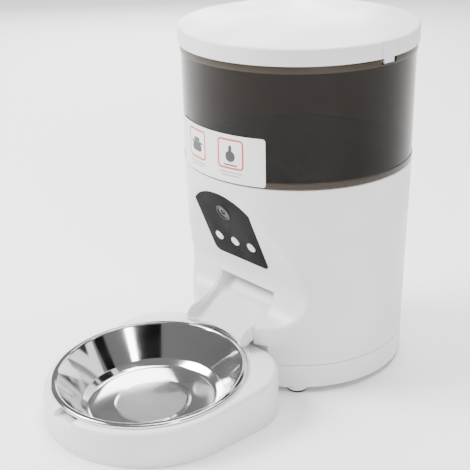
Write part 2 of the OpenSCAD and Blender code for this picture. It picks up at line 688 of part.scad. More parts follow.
box_x = gear_m * idler_big_teeth / 2 + 3.2;
box_y0 = -gear_m * drive_teeth / 2 - 3.5;
box_y1 = motor_y + 8.5;
thread_r = 1.1;
module at_gearbox_screws() for (x = [-1, 1], y = [box_y0 + 3.2, box_y1 - 3.2])
    translate([x * (box_x - 3.2), y, gearbox_z]) children();
module gearbox_base() color([0.8, 0.8, 0.82]) at_tower() difference() {
    union() {
        difference() {
            slab(2 * box_x, box_y0, box_y1, gearbox_z, deck_z - gearbox_lid_t);
            slab(2 * (box_x - gearbox_wall), box_y0 + gearbox_wall, box_y1 - gearbox_wall,
                gearbox_z + 2, far);
        }
        at_gearbox_screws() cylinder(r = 2.4, h = deck_z - gearbox_lid_t - gearbox_z);
    }
    translate([0, 0, gearbox_z - over]) cylinder(r = pivot_r + run_fit, h = 4);
    translate([0, idler_y, gearbox_z - over]) cylinder(r = axle_r + 0.02, h = 4);
    translate([0, motor_y, gearbox_z - over]) cylinder(r = 3.2, h = 4);
    at_gearbox_screws() translate([0, 0, -over]) cylinder(r = thread_r + 0.1, h = 40);
}
module gearbox_cover() color([0.8, 0.8, 0.82]) at_tower() difference() {
    slab(2 * box_x, box_y0, box_y1, deck_z - gearbox_lid_t, deck_z);
    translate([0, 0, deck_z - 5]) cylinder(r = dog_r + run_fit, h = 10);
    translate([0, idler_y, deck_z - 5]) cylinder(r = axle_r + 0.02, h = 10);
    at_gearbox_screws() translate([0, 0, -over]) cylinder(r = thread_r + 0.1, h = 40);
}
module gearbox_screws() color("silver") at_tower()
    at_gearbox_screws() screw(deck_z + deck_t - gearbox_z - 1, thread_r, 2.2, 1.6);
module gear(teeth, z, h) translate([0, 0, z]) linear_extrude(h) gear_2d(teeth);
spigot_r = 3;
dog_foot = deck_z + deck_t + 1;
module drive_gear() color([0.92, 0.9, 0.85]) at_tower() {
    rotate(90) gear(drive_teeth, gear_high, gear_high_h);
    translate([0, 0, gearbox_z]) cylinder(r = pivot_r, h = gear_high - gearbox_z + over);
    translate([0, 0, gear_high]) cylinder(r = dog_r, h = dog_foot - gear_high);
    translate([0, 0, dog_foot - over]) cylinder(r = spigot_r, h = dog_top - 2 - dog_foot + over);
}
module drive_dog() color([0.92, 0.9, 0.85]) at_tower() difference() {
    translate([0, 0, dog_foot]) cylinder(r = dog_r, h = dog_top - dog_foot, $fn = 6);
    translate([0, 0, dog_foot - over]) cylinder(r = spigot_r + 0.02, h = dog_top - 1.9 - dog_foot + over);
}
module idler_gear() color([0.92, 0.9, 0.85]) at_tower() translate([0, idler_y, 0]) difference() {
    union() {
        rotate(90) gear(idler_big_teeth, gear_low, gear_low_h);
        rotate(270 + 180 / idler_small_teeth)
            gear(idler_small_teeth, step_z - over, gear_high + gear_high_h - step_z + over);
    }
    translate([0, 0, gear_low - over]) cylinder(r = axle_r + run_fit, h = 40);
}
module idler_axle() color("silver") at_tower()
    translate([0, idler_y, gearbox_z]) cylinder(r = axle_r, h = deck_z - gearbox_z);
shaft_z = motor_top - 6;
module motor() color([0.75, 0.75, 0.77]) at_tower() translate([0, motor_y, 0]) difference() {
    union() {
        translate([0, 0, motor_top - motor_len]) cylinder(r = motor_d / 2, h = motor_len);
        translate([0, 0, motor_top - motor_len - 2]) cylinder(r = 4, h = 2 + over);
    }
    translate([0, 0, shaft_z]) cylinder(r = shaft_r + run_fit, h = 10);
}
module motor_shaft() color("silver") at_tower()
    translate([0, motor_y, shaft_z]) cylinder(r = shaft_r, h = gear_low + gear_low_h + 1 - shaft_z);
module motor_pinion() color([0.8, 0.65, 0.3]) at_tower() translate([0, motor_y, 0]) difference() {
    rotate(270 + 180 / pinion_teeth) gear(pinion_teeth, gear_low - 0.5, gear_low_h + 1);
    translate([0, 0, gear_low - 2]) cylinder(r = shaft_r, h = 10);
}

// ---------- electronics ----------

board_y = motor_y + 18;
board_x = 36;
board_z0 = 40;
board_z1 = 100;
board_t = 1.6;
board_leg = 28;
module at_board_screws() for (x = [-board_leg, board_leg], z = [board_z0 + 6, board_z1 - 6])
    translate([x, board_y + board_t, z]) rotate([90, 0, 0]) children();
module main_board() color([0.1, 0.35, 0.2]) at_tower() difference() {
    slab(2 * board_x, board_y, board_y + board_t, board_z0, board_z1);
    at_board_screws() translate([0, 0, -over]) cylinder(r = thread_r + 0.1, h = 4);
}
board_face = board_y + board_t;
module board_parts() color([0.13, 0.13, 0.14]) at_tower() {
    // radio module, controller, two connectors, and a row of capacitors: [x, z, width, height, depth]
    for (p = [[-14, 84, 18, 25, 3], [10, 78, 12, 12, 1.6], [-26, 56, 10, 8, 6], [26, 62, 8, 12, 6]])
        translate([p[0], 0, p[1]]) slab(p[2], board_face, board_face + p[4], -p[3] / 2, p[3] / 2);
    for (i = [0:2]) translate([-6 + 9 * i, board_face, 54]) rotate([-90, 0, 0]) cylinder(r = 3.1, h = 9);
}
module board_screws() color("silver") at_tower() {
    at_board_screws() screw(board_t + 3, thread_r - 0.05, 2.2, 1.6);
    at_panel_bosses() translate([0, 0, board_w - 1.6]) screw(5, 0.95, 2, 1.4);
}
module speaker() color([0.15, 0.15, 0.15]) at_tower() translate([speaker_x, speaker_y, 0]) lathe([
    [0, floor_top + 4], [speaker_r - 6, floor_top + 1.4], [speaker_r - 4, floor_top], [speaker_r, floor_top],
    [speaker_r, floor_top + 2], [speaker_r - 5, floor_top + 3.6], [9, floor_top + 7], [9, floor_top + 13],
    [0, floor_top + 13]]);
module power_socket() color([0.12, 0.12, 0.12]) at_tower() at_socket() {
    difference() {
        union() {
            translate([0, 0, -wall - 1]) cylinder(r = 4, h = wall + 0.6);
            translate([-5, -5.5, -wall - 12]) cube([10, 11, 11.2]);
        }
        translate([0, 0, -10]) cylinder(r = 2.75, h = 12);
    }
    translate([0, 0, -10.5]) cylinder(r = 1, h = 9);
}

// ---------- batteries ----------

module battery_box() color([0.85, 0.85, 0.87]) at_tower() difference() {
    slab(bay_x + 2 * bay_wall, bay_y0 - bay_wall, bay_y1 + bay_wall, floor_top, bay_top + bay_wall);
    slab(bay_x, bay_y0, bay_y1, 0, bay_top);
}
module contact_spring(turns) for (k = [0:turns - 1])
    translate([0, 0, 0.5 + 0.9 * k]) rotate_extrude($fn = 32) translate([5.5 - k, 0]) circle(0.5, $fn = 12);
module battery_contacts() color("silver") at_tower() for (i = [0:cells - 1]) {
    x = (i - (cells - 1) / 2) * cell_d;
    z = floor_top + cell_d / 2 + 1;
    flip = i % 2;
    translate([x, bay_y0, 0]) slab(16, 0, 0.4, z - 8, z + 8);
    translate([x, bay_y1 - 0.4, 0]) slab(16, 0, 0.4, z - 8, z + 8);
    translate([x, flip ? bay_y0 + 0.35 : bay_y1 - 0.35, z]) rotate([flip ? -90 : 90, 0, 0]) contact_spring(3);
}
module battery_door() color("white") at_tower() {
    slab(bay_x, bay_y0, bay_y1, foot_h, floor_top - 1.1);
}

// ---------- leads ----------

module ribbon_cable() color([0.5, 0.5, 0.52]) at_tower()
    lead([[panel_boss_x + 4.8, deck_front - 5, 118], [46, deck_front - 4.5, 112],
          [52, deck_front - 2, 104], [53, deck_front + 27, 100], [50, 44, 100],
          [40, board_y - 6, 98], [board_x - 2, board_y - 1.25, 94]], 1.2);
module motor_lead() color([0.7, 0.15, 0.12]) at_tower()
    lead([[5, motor_y, motor_top - motor_len - 1.3], [7, motor_y + 8, motor_top - motor_len - 3],
          [8, board_y - 3, 50], [8, board_y - 1.1, 48]], 1);
socket_in = foot_r - 13.5;
lead_x = socket_in * cos(socket_a) + 1;
lead_y = socket_in * sin(socket_a) - 0.2;
module power_lead() color([0.1, 0.1, 0.1]) at_tower()
    lead([[lead_x, lead_y, socket_z + 6.8], [lead_x, lead_y - 2, 26],
          [24, board_face + 4, 36], [18, board_face + 1.3, 44]], 1.2);

// ---------- tray and bowl ----------

notch_h = 5.5;
tongue_x = 30;
tongue_z = 10;
module tray_solid(grow, drop) intersection() {
    dock(grow, tray_lift - (drop > 0 ? 5 : 0), tray_h + 30);
    at_bowl(tray_h - drop) translate([-far, -far, -far]) cube([2 * far, 2 * far, far]);
}
module at_pads() {
    for (s = [-1, 1]) translate([s * (tray_r - tray_corner_r), -tray_rear - tray_corner_r, 0])
        rotate(s * -45) translate([0, tray_corner_r - 7, 0]) children();
    for (s = [-1, 1]) translate([0, -bowl_reach, 0])
        rotate(s * 40) translate([0, 7 - tray_r, 0]) children();
}
module bowl_tray() color("white") at_tower() {
    difference() {
        union() {
            difference() {
                tray_solid(0, 0);
                tray_solid(-tray_wall, tray_wall);
            }
            intersection() {
                at_pads() cylinder(r = 6, h = 20);
                tray_solid(-1, 1);
            }
        }
        at_bowl(tray_h) translate([0, 0, -12]) cylinder(r = well_r, h = 20);
        at_bowl(tray_h) translate([-notch_w / 2, -tray_r - 5, -notch_h]) cube([notch_w, 20, 20]);
        translate([0, 0, -1]) at_pads() cylinder(r = 4.6, h = tray_lift + 2);
    }
    for (s = [-1, 1]) translate([s * tongue_x, 0, 0])
        slab(10, -tray_rear - tray_wall, -tray_rear + 8, tongue_z, tongue_z + 4);
}
module tray_pads() color([0.1, 0.1, 0.1]) at_tower() at_pads() cylinder(r = 4.5, h = tray_lift + 1);
module bowl() color("silver") at_tower() at_bowl(rim_z) lathe([
    [0, -bowl_depth], [floor_r - 6, -bowl_depth], [floor_r, -bowl_depth + 5], [bowl_mouth_r, -1.2],
    [bowl_mouth_r + 1, 0], [bowl_r - 1, 0], [bowl_r, -1], [bowl_r, -2.8], [bowl_r - sheet, -2.8],
    [bowl_r - sheet, -1.2], [bowl_r - 1.3, -sheet],
    [bowl_mouth_r + 1.4, -sheet], [bowl_mouth_r + sheet, -1.6],
    [floor_r + sheet, -bowl_depth + 4.6], [floor_r - 5.6, -bowl_depth - sheet], [0, -bowl_depth - sheet]]);

lid_shell();
latch_left();
latch_right();
lid_liner();
lid_seal();
lid_screws();
desiccant_box();
food_tank();
tank_label();
hopper_funnel();
funnel_screws();
wheel_cover();
feeding_wheel();
wheel_blades();
stirrer();
body_shell();
base_tub();
foot_pads();
base_screws();
chassis();
chassis_screws();
chute();
kibble_sensors();
control_fascia();
camera_bezel();
camera_window();
camera_module();
button_left();
button_middle();
button_right();
button_switches();
button_board();
gearbox_base();
gearbox_cover();
gearbox_screws();
drive_gear();
drive_dog();
idler_gear();
idler_axle();
motor();
motor_shaft();
motor_pinion();
main_board();
board_parts();
board_screws();
speaker();
power_socket();
battery_box();
battery_contacts();
battery_door();
ribbon_cable();
motor_lead();
power_lead();
bowl_tray();
tray_pads();
bowl();
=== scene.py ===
"""Automatic pet feeder: the finished look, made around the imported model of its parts."""
import json
import math

import bmesh
import bpy
import numpy as np
from bpy.props import FloatProperty, FloatVectorProperty, IntProperty, PointerProperty
from mathutils import Matrix, Vector


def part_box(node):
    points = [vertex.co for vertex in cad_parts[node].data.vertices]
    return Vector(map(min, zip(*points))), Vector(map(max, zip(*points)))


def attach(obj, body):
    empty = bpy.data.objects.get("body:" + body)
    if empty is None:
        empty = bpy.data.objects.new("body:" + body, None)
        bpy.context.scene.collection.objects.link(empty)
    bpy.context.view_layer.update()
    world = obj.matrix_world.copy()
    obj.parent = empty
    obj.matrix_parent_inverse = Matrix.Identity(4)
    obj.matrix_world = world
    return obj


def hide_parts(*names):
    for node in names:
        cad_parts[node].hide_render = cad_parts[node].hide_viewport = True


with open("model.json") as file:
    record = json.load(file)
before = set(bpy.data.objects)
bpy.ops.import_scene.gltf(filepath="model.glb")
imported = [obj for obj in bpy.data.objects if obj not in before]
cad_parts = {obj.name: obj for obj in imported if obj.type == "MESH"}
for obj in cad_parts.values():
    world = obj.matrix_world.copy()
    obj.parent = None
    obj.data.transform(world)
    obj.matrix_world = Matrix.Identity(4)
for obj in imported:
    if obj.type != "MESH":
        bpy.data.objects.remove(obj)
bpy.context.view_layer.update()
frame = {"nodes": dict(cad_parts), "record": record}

bl_info = {
    "name": "Automatic Pet Feeder",
    "version": (1, 0, 0),
    "blender": (4, 5, 0),
    "location": "3D View > Sidebar > Feeder",
    "description": "Builds the shells, bowl, tray, panel and stage of an automatic pet feeder",
    "category": "Object",
}

MM = 0.001

# ---------- places, all read from the frame ----------

LID_LO, LID_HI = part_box("lid_shell")
BODY_LO, BODY_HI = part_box("body_shell")
TANK_LO, TANK_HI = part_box("food_tank")
TRAY_LO, TRAY_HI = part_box("bowl_tray")
BOWL_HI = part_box("bowl")[1]
CHUTE_LO, CHUTE_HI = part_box("chute")
LABEL_LO, LABEL_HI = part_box("tank_label")

LID_R = (LID_HI.y - LID_LO.y) / 2
AXIS_Y = (LID_HI.y + LID_LO.y) / 2
FOOT_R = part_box("base_tub")[1].x
BODY_TOP_R = BODY_HI.x
BASE_TOP = BODY_LO.z
BODY_TOP = BODY_HI.z
TANK_TOP = TANK_HI.z
LID_TOP = LID_HI.z
TRAY_R = TRAY_HI.x
BOWL_R = BOWL_HI.x
BOWL_REACH = AXIS_Y - (TRAY_LO.y + TRAY_R)
TRAY_LIFT = TRAY_LO.z
CHUTE_HALF = CHUTE_HI.x
NOSE_Y = CHUTE_LO.y - AXIS_Y
DECK_UNDER = CHUTE_HI.z


# ---------- settings ----------

def length(name, text, default):
    """A length shown in the panel, in metres."""
    return FloatProperty(name=name, description=text, default=default, unit="LENGTH", precision=5)


def angle(name, text, degrees):
    """An angle shown in the panel."""
    return FloatProperty(name=name, description=text, default=math.radians(degrees), subtype="ANGLE")


def paint(name, text, default):
    """A colour shown in the panel."""
    return FloatVectorProperty(name=name, description=text, default=default, size=3,
                               subtype="COLOR", min=0.0, max=1.0)


class FeederShape(bpy.types.PropertyGroup):
    """Sizes of the shells, in the tower's own frame"""
    wall: length("Wall", "Thickness of the body shell and the lid", 0.0025)
    edge: length("Edge", "Radius of the scoop's rounded edges", 0.0030)
    scoop_radius: length("Scoop radius", "Radius of the round at the back of the scoop", 0.0265)
    scoop_height: length("Scoop height", "Height of the middle of that round", 0.0857)
    scoop_drop: length("Scoop drop", "How far the scoop starts under the body's top", 0.008)
    scoop_wall: length("Scoop wall", "Thickness of the wall behind the scoop", 0.003)
    scoop_lean: angle("Scoop lean", "How far the panel's face leans forward", 23)
    scoop_fall: angle("Scoop fall", "How far the scoop's floor falls to the front", 10)
    panel_gap: length("Panel gap", "From the end of the round up to the panel", 0.0073)
    panel_w: length("Panel width", "Width of the dark panel", 0.066)
    panel_h: length("Panel height", "Height of the dark panel along its slope", 0.0735)
    panel_arch: length("Panel arch", "Radius of the panel's arched top", 0.045)
    panel_corner: length("Panel corner", "Radius of the panel's lower corners", 0.006)
    panel_t: length("Panel thickness", "Thickness of the panel", 0.0015)
    button_d: length("Button diameter", "Diameter of each button", 0.0088)
    button_pitch: length("Button pitch", "From one button to the next", 0.0197)
    button_rise: length("Button rise", "Height of the buttons on the panel", 0.0208)
    window_d: length("Window diameter", "Diameter of the camera's window", 0.012)
    window_rise: length("Window rise", "Height of the camera on the panel", 0.053)
    collar_h: length("Collar height", "Height of the tank's collar", 0.0058)
    band_h: length("Band height", "Height of the band at the tank's foot", 0.0055)
    step: length("Collar step", "How far the collar stands out from the tank's wall", 0.0005)
    tank_wall: length("Tank wall", "Thickness of the tank's wall", 0.0022)
    latch_w: length("Latch width", "Width of each press latch", 0.017)
    latch_depth: length("Latch depth", "How far a latch reaches in from the lid's rim", 0.009)
    lip_z: length("Lip height", "Height of the chute's lip", 0.0456)
    channel_fillet: length("Channel fillet", "Radius between the chute's floor and walls", 0.010)
    tray_height: length("Tray height", "Height of the tray at the middle of the bowl", 0.0343)
    tray_corner: length("Tray corner", "Radius of the tray's rear corners", 0.046)
    tray_edge: length("Tray edge", "Radius of the tray's top edge", 0.005)
    tray_slope: angle("Tray slope", "How far the tray's top falls to the front", 3.5)
    bowl_depth: length("Bowl depth", "Depth of the bowl", 0.031)
    bowl_floor: length("Bowl floor", "Radius of the bowl's floor", 0.059)
    rim_w: length("Rim width", "Width of the bowl's rolled rim", 0.0052)
    sheet: length("Sheet", "Thickness of the bowl's steel", 0.0008)


class FeederFinish(bpy.types.PropertyGroup):
    """Strengths and seeds of the finishes"""
    grain: FloatProperty(name="Grain", description="Strength of the moulded grain", default=0.12)
    smudge: FloatProperty(name="Smudge", description="How far the shine varies", default=0.10)
    seed: IntProperty(name="Seed", description="Seed of the small variations", default=7)


class FeederColours(bpy.types.PropertyGroup):
    """Colours of the pieces that show"""
    shell: paint("Shell", "White of the lid, body, base, chute and tray", (0.82, 0.82, 0.845))
    inner: paint("Inner parts", "White of the parts inside", (0.78, 0.78, 0.78))
    tank: paint("Tank", "Tint of the smoked tank", (0.05, 0.028, 0.010))
    rim: paint("Tank rim", "Tint of the tank's collar and band", (0.065, 0.05, 0.034))
    funnel: paint("Funnel", "Colour of the funnel under the tank", (0.025, 0.022, 0.020))
    panel: paint("Panel", "Colour of the dark panel", (0.012, 0.011, 0.011))
    button: paint("Buttons", "Colour of the three buttons", (0.84, 0.84, 0.85))
    mark: paint("Button marks", "Colour of the marks on the buttons", (0.42, 0.42, 0.44))
    rubber: paint("Rubber", "Colour of the feet and pads", (0.03, 0.03, 0.03))
    steel: paint("Bowl", "Tint of the bowl's steel", (0.78, 0.775, 0.77))
    paper: paint("Label", "White of the label", (0.86, 0.86, 0.85))
    sign: paint("Label signs", "Red edge of the label's signs", (0.62, 0.05, 0.04))
    ink: paint("Label ink", "Dark shapes on the label", (0.05, 0.05, 0.055))
    rule: paint("Label rules", "Grey rules on the label", (0.42, 0.42, 0.43))


def shape():
    """The sizes in use."""
    return bpy.context.scene.feeder_shape


def colours():
    """The colours in use."""
    return bpy.context.scene.feeder_colours


# ---------- meshes ----------

def new_object(name, points, faces, sharp=34):
    """A mesh object with its faces outwards, smooth except over edges sharper than that angle."""
    mesh = bpy.data.meshes.new(name)
    mesh.from_pydata([tuple(p) for p in points], [], faces)
    obj = bpy.data.objects.new(name, mesh)
    bpy.context.scene.collection.objects.link(obj)
    settle(obj, sharp)
    return obj


def settle(obj, sharp=34):
    """Turns the faces outwards and marks the sharp edges."""
    work = bmesh.new()
    work.from_mesh(obj.data)
    if work.calc_volume(signed=True) < 0:
        bmesh.ops.reverse_faces(work, faces=work.faces)
    for face in work.faces:
        face.smooth = True
    limit = math.radians(sharp)
    for edge in work.edges:
        edge.smooth = edge.calc_face_angle(math.pi) < limit
    work.to_mesh(obj.data)
    work.free()


def rings_solid(name, rings, loop=False, sharp=34):
    """A closed solid through rings of equally many points; loop joins the last ring to the first."""
    count = len(rings[0])
    points = [p for ring in rings for p in ring]
    faces = []
    pairs = len(rings) if loop else len(rings) - 1
    for i in range(pairs):
        a = i * count
        b = (i + 1) % len(rings) * count
        for j in range(count):
            k = (j + 1) % count
            faces.append((a + j, a + k, b + k, b + j))
    if not loop:
        faces.append(tuple(range(count - 1, -1, -1)))
        faces.append(tuple(range(len(points) - count, len(points))))
    return new_object(name, points, faces, sharp)


def rounded(corners, steps=6):
    """Points of a closed outline whose corners (x, y, radius) are rounded."""
    out = []
    count = len(corners)
    for i, (x, y, radius) in enumerate(corners):
        here = Vector((x, y))
        if radius <= 0:
            out.append((x, y))
            continue
        back = (Vector(corners[i - 1][:2]) - here).normalized()
        ahead = (Vector(corners[(i + 1) % count][:2]) - here).normalized()
        half = back.angle(ahead) / 2
        run = radius / math.tan(half)
        centre = here + (back + ahead).normalized() * radius / math.sin(half)
        first = here + back * run - centre
        last = here + ahead * run - centre
        sweep = first.angle_signed(last)
        for k in range(steps + 1):
            turned = Matrix.Rotation(-sweep * k / steps, 2) @ first
            out.append(tuple(centre + turned))
    return out


def spin(name, corners, segments=192, matrix=None, steps=6, sharp=34):
    """A solid of revolution from rounded (radius, height, corner radius) points."""
    profile = rounded(corners, steps)
    rings = []
    faces = []
    points = []
    for radius, height in profile:
        if radius < 1e-7:
            rings.append([len(points)] * segments)
            points.append((0, 0, height))
            continue
        rings.append(list(range(len(points), len(points) + segments)))
        turns = [2 * math.pi * j / segments for j in range(segments)]
        points += [(radius * math.cos(t), radius * math.sin(t), height) for t in turns]
    for i, ring in enumerate(rings):
        after = rings[(i + 1) % len(rings)]
        if ring[0] == ring[1] and after[0] == after[1]:
            continue
        for j in range(segments):
            k = (j + 1) % segments
            corner_ids = [ring[j], ring[k], after[k], after[j]]
            faces.append(tuple(dict.fromkeys(corner_ids)))
    matrix = matrix or TOWER
    return new_object(name, [matrix @ Vector(p) for p in points], faces, sharp)


def prism(name, outline, low, high, matrix=None):
    """A straight solid over an outline, between two heights of its own frame."""
    matrix = matrix or TOWER
    rings = [[matrix @ Vector((x, y, z)) for x, y in outline] for z in (low, high)]
    return rings_solid(name, rings)


def block(name, low, high, matrix=None):
    """A plain block for cutting."""
    outline = [(low[0], low[1]), (high[0], low[1]), (high[0], high[1]), (low[0], high[1])]
    return prism(name, outline, low[2], high[2], matrix)


def rod(name, radius, low, high, matrix, segments=64):
    """A plain round bar for cutting."""
    turns = [2 * math.pi * j / segments for j in range(segments)]
    return prism(name, [(radius * math.cos(t), radius * math.sin(t)) for t in turns], low, high, matrix)


def combine(obj, tools, operation="DIFFERENCE", sharp=34):
    """Cuts the tools from a solid, joins them to it, or keeps what they share."""
    for tool in tools:
        step = obj.modifiers.new("combine", "BOOLEAN")
        step.operation = operation
        step.solver = "MANIFOLD"
        step.object = tool
    graph = bpy.context.evaluated_depsgraph_get()
    made = bpy.data.meshes.new_from_object(obj.evaluated_get(graph))
    obj.modifiers.clear()
    obj.data = made
    for tool in tools:
        bpy.data.objects.remove(tool)
    if not made.polygons:
        raise RuntimeError(f"{obj.name} has nothing left")
    settle(obj, sharp)
    return obj


def finish_piece(obj, body, slot, *nodes):
    """Gives a piece its material and its body, and hides the nodes that it stands for."""
    if not any(obj.data.materials):
        obj.data.materials.clear()
        obj.data.materials.append(bpy.data.materials[slot])
    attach(obj, body)
    if nodes:
        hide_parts(*nodes)
    return obj


# ---------- frames of the tower, the panel and the bowl ----------

TOWER = Matrix.Translation((0, AXIS_Y, 0))


def scoop_middle():
    """Middle (y, z) of the round at the back of the scoop, in the tower's frame."""
    s = shape()
    top = BODY_TOP - s.scoop_drop
    lean = s.scoop_lean
    rise = top - s.scoop_height - s.scoop_radius * math.sin(lean)
    y = -body_radius(top) - s.scoop_radius * math.cos(lean) + math.tan(lean) * rise
    return y, s.scoop_height


def body_radius(z):
    """Outer radius of the tapered body at a height."""
    return FOOT_R + (BODY_TOP_R - FOOT_R) * (z - BASE_TOP) / (BODY_TOP - BASE_TOP)


def panel_frame(up=0.0, out=0.0, across=0.0):
    """Frame on the leaning face: X across, Y up the slope, Z outwards."""
    s = shape()
    y, z = scoop_middle()
    lean = s.scoop_lean
    y += s.scoop_radius * math.cos(lean) - s.panel_gap * math.sin(lean)
    z += s.scoop_radius * math.sin(lean) + s.panel_gap * math.cos(lean)
    foot = TOWER @ Matrix.Translation((0, y, z)) @ Matrix.Rotation(math.pi / 2 + lean, 4, "X")
    return foot @ Matrix.Translation((across, up, out))


def bowl_frame(height):
    """Frame at the middle of the bowl, tilted like the tray's top."""
    place = Matrix.Translation((0, -BOWL_REACH, height))
    return TOWER @ place @ Matrix.Rotation(shape().tray_slope, 4, "X")


# ---------- distance fields that shape the body ----------

def scoop_outside(y, z):
    """Distance from a point to the scoop's space: negative inside it."""
    s = shape()
    middle_y, middle_z = scoop_middle()
    v = y - middle_y
    w = z - middle_z
    face = v * math.cos(s.scoop_lean) + w * math.sin(s.scoop_lean)
    floor = v * math.sin(s.scoop_fall) - w * math.cos(s.scoop_fall)
    between = math.cos(s.scoop_lean + math.pi / 2 - s.scoop_fall)
    away = np.hypot(v, w)
    away = np.where((floor > 0) & (face - floor * between <= 0), floor, away)
    away = np.where((face > 0) & (floor - face * between <= 0), face, away)
    inside = np.maximum(face, floor)
    return np.where(inside <= 0, inside, away) - s.scoop_radius


def tray_outside(x, y):
    """Distance from a point by the tower to the tray's outline: negative inside it."""
    s = shape()
    rear = tray_rear()
    over = np.abs(x) - (TRAY_R - s.tray_corner)
    along = y - (rear - s.tray_corner)
    corner = np.hypot(np.maximum(over, 0), np.maximum(along, 0))
    return np.where((over <= 0) & (along <= 0), np.maximum(over, along), corner) - s.tray_corner


def tray_rear():
    """The tray's rear edge, in the tower's frame; its two tongues reach 8 mm further."""
    return TRAY_HI.y - AXIS_Y - 8 * MM


def soft_max(a, b, radius):
    """The greater of two distances, rounded where they meet."""
    near = np.maximum(radius - np.abs(a - b), 0) / radius
    return np.maximum(a, b) + near * near * radius / 4


def field_rings(field, turns, heights):
    """Rings on the surface where a field is zero, one ring for each height."""
    turn, height = np.meshgrid(turns, heights)
    low = np.full(turn.shape, 0.02)
    high = np.full(turn.shape, LID_R * 1.05)
    for _ in range(34):
        radius = (low + high) / 2
        x = radius * np.sin(turn)
        y = -radius * np.cos(turn)
        outside = field(x, y, height, radius) > 0
        high = np.where(outside, radius, high)
        low = np.where(outside, low, radius)
    rings = np.stack([low * np.sin(turn), AXIS_Y - low * np.cos(turn), height], axis=-1)
    return rings


def front_turns(fine, half, coarse):
    """Angles from the front: fine steps within half, coarse ones behind."""
    front = np.radians(np.arange(-half, half, fine))
    rear = np.radians(np.arange(half, 360 - half, coarse))
    return np.concatenate([front, rear])


def spread(*stretches):
    """Heights over stretches of (from, to, step), each once."""
    parts = [np.arange(low, high - step / 2, step) for low, high, step in stretches]
    return np.concatenate(parts + [[stretches[-1][1]]])


def edge_inset(z, low, high, radius):
    """How far a wall draws in at its top and foot to round both edges."""
    near = np.maximum(radius - np.minimum(z - low, high - z), 0)
    return radius - np.sqrt(np.maximum(radius * radius - near * near, 0))


def make_body():
    """The tapered body with its scoop, chute slot, tray pocket and panel pocket."""
    s = shape()
    seam = 1.1 * MM
    dock_top = s.tray_height + 3 * MM + math.sin(s.tray_slope) * BOWL_R + 0.6 * MM
    floor_z = scoop_middle()[1] - s.scoop_radius

    def outer(x, y, z, r):
        """Distance field of the outside."""
        cone = r - (body_radius(z) - edge_inset(z, BASE_TOP, BODY_TOP, seam))
        return soft_max(cone, np.where(y < 0, -scoop_outside(y, z), -1), s.edge)

    def inner(x, y, z, r):
        """Distance field of the inside, a wall further in."""
        cone = r - body_radius(z) + s.wall
        scoop = np.where(y < 0, s.scoop_wall - scoop_outside(y, z), -1)
        dock = np.where((z < dock_top + s.wall) & (y < 0), s.wall + MM - tray_outside(x, y), -1)
        return np.maximum(np.maximum(cone, scoop), dock)

    low, high = BASE_TOP, BODY_TOP
    heights = spread((low, low + seam, seam / 4), (low + seam, floor_z - 4 * MM, 3 * MM),
                     (floor_z - 4 * MM, floor_z + 3 * MM, 0.16 * MM),
                     (floor_z + 3 * MM, floor_z + 50 * MM, 0.9 * MM),
                     (floor_z + 50 * MM, high - 16 * MM, 1.3 * MM),
                     (high - 16 * MM, high - 4 * MM, 0.5 * MM), (high - 4 * MM, high - seam, 0.9 * MM),
                     (high - seam, high, seam / 4))
    body = rings_solid("body_shell_skin", field_rings(outer, front_turns(0.5, 58, 2.0), heights))
    ledge = dock_top + s.wall
    inner_heights = spread((low - MM, ledge - 0.01 * MM, 3 * MM), (ledge - 0.01 * MM, ledge, 0.01 * MM),
                           (ledge, floor_z, 2 * MM), (floor_z, high + MM, 2 * MM))
    core = rings_solid("core", field_rings(inner, front_turns(1.5, 60, 4.0), inner_heights))
    pocket = prism("pocket", dock_outline(MM), low - 2 * MM, dock_top)
    half = CHUTE_HALF + 0.3 * MM
    slot = chute_slot(half, dock_top)
    panel = prism("panel", panel_outline(0.15 * MM), 0.3 * MM - s.panel_t, 5 * MM, panel_frame())
    holes = [rod("hole", s.button_d / 2 + 0.35 * MM, -10 * MM, 10 * MM, frame_at)
             for frame_at in button_frames()]
    holes.append(rod("hole", s.window_d / 2 + 1.6 * MM, -10 * MM, 10 * MM, panel_frame(s.window_rise)))
    combine(body, [core, pocket, slot, panel, *holes])
    return finish_piece(body, "tower", "white_shell", "body_shell")


def dock_outline(grow):
    """The tray's outline grown a little, as far as the tower needs it."""
    s = shape()
    side = TRAY_R + grow
    rear = tray_rear() + grow
    front = -BOWL_REACH
    corner = s.tray_corner + grow
    return rounded([(-side, front, 0), (side, front, 0), (side, rear, corner), (-side, rear, corner)], 24)


def chute_slot(half, foot):
    """The opening that the chute comes out of."""
    s = shape()
    rear = chute_foot() + 0.8 * MM - 2 * MM
    top = s.scoop_height - 4.5 * MM
    y0 = -LID_R * 1.2
    side = [(y0, foot - 0.1 * MM), (tray_rear() - 2.5 * MM, foot - 0.1 * MM),
            (tray_rear() + 3 * MM, s.lip_z + 4.4 * MM), (rear + 2 * MM, s.lip_z + 12.4 * MM),
            (rear + 2 * MM, top), (y0, top)]
    return rings_solid("slot", [[TOWER @ Vector((x, y, z)) for y, z in side] for x in (-half, half)])


def chute_foot():
    """Where the chute meets the wall behind the scoop, in the tower's frame."""
    s = shape()
    return scoop_middle()[0] + s.scoop_radius + s.scoop_wall + 0.2 * MM


# ---------- panel, camera and buttons ----------

def panel_outline(grow, arc_steps=48):
    """Outline of the arched panel on its face."""
    s = shape()
    half = s.panel_w / 2 + grow
    arch = s.panel_arch + grow
    middle = s.panel_h - s.panel_arch
    start = math.acos(half / arch)
    turns = [start + (math.pi - 2 * start) * k / arc_steps for k in range(arc_steps + 1)]
    top = [(arch * math.cos(t), middle + arch * math.sin(t), 0) for t in turns]
    corner = s.panel_corner + grow
    return rounded([(-half, -grow, corner), (half, -grow, corner), *top], 10)


def button_frames():
    """Frames of the three buttons, left to right."""
    s = shape()
    return [panel_frame(s.button_rise, 0, i * s.button_pitch) for i in (-1, 0, 1)]


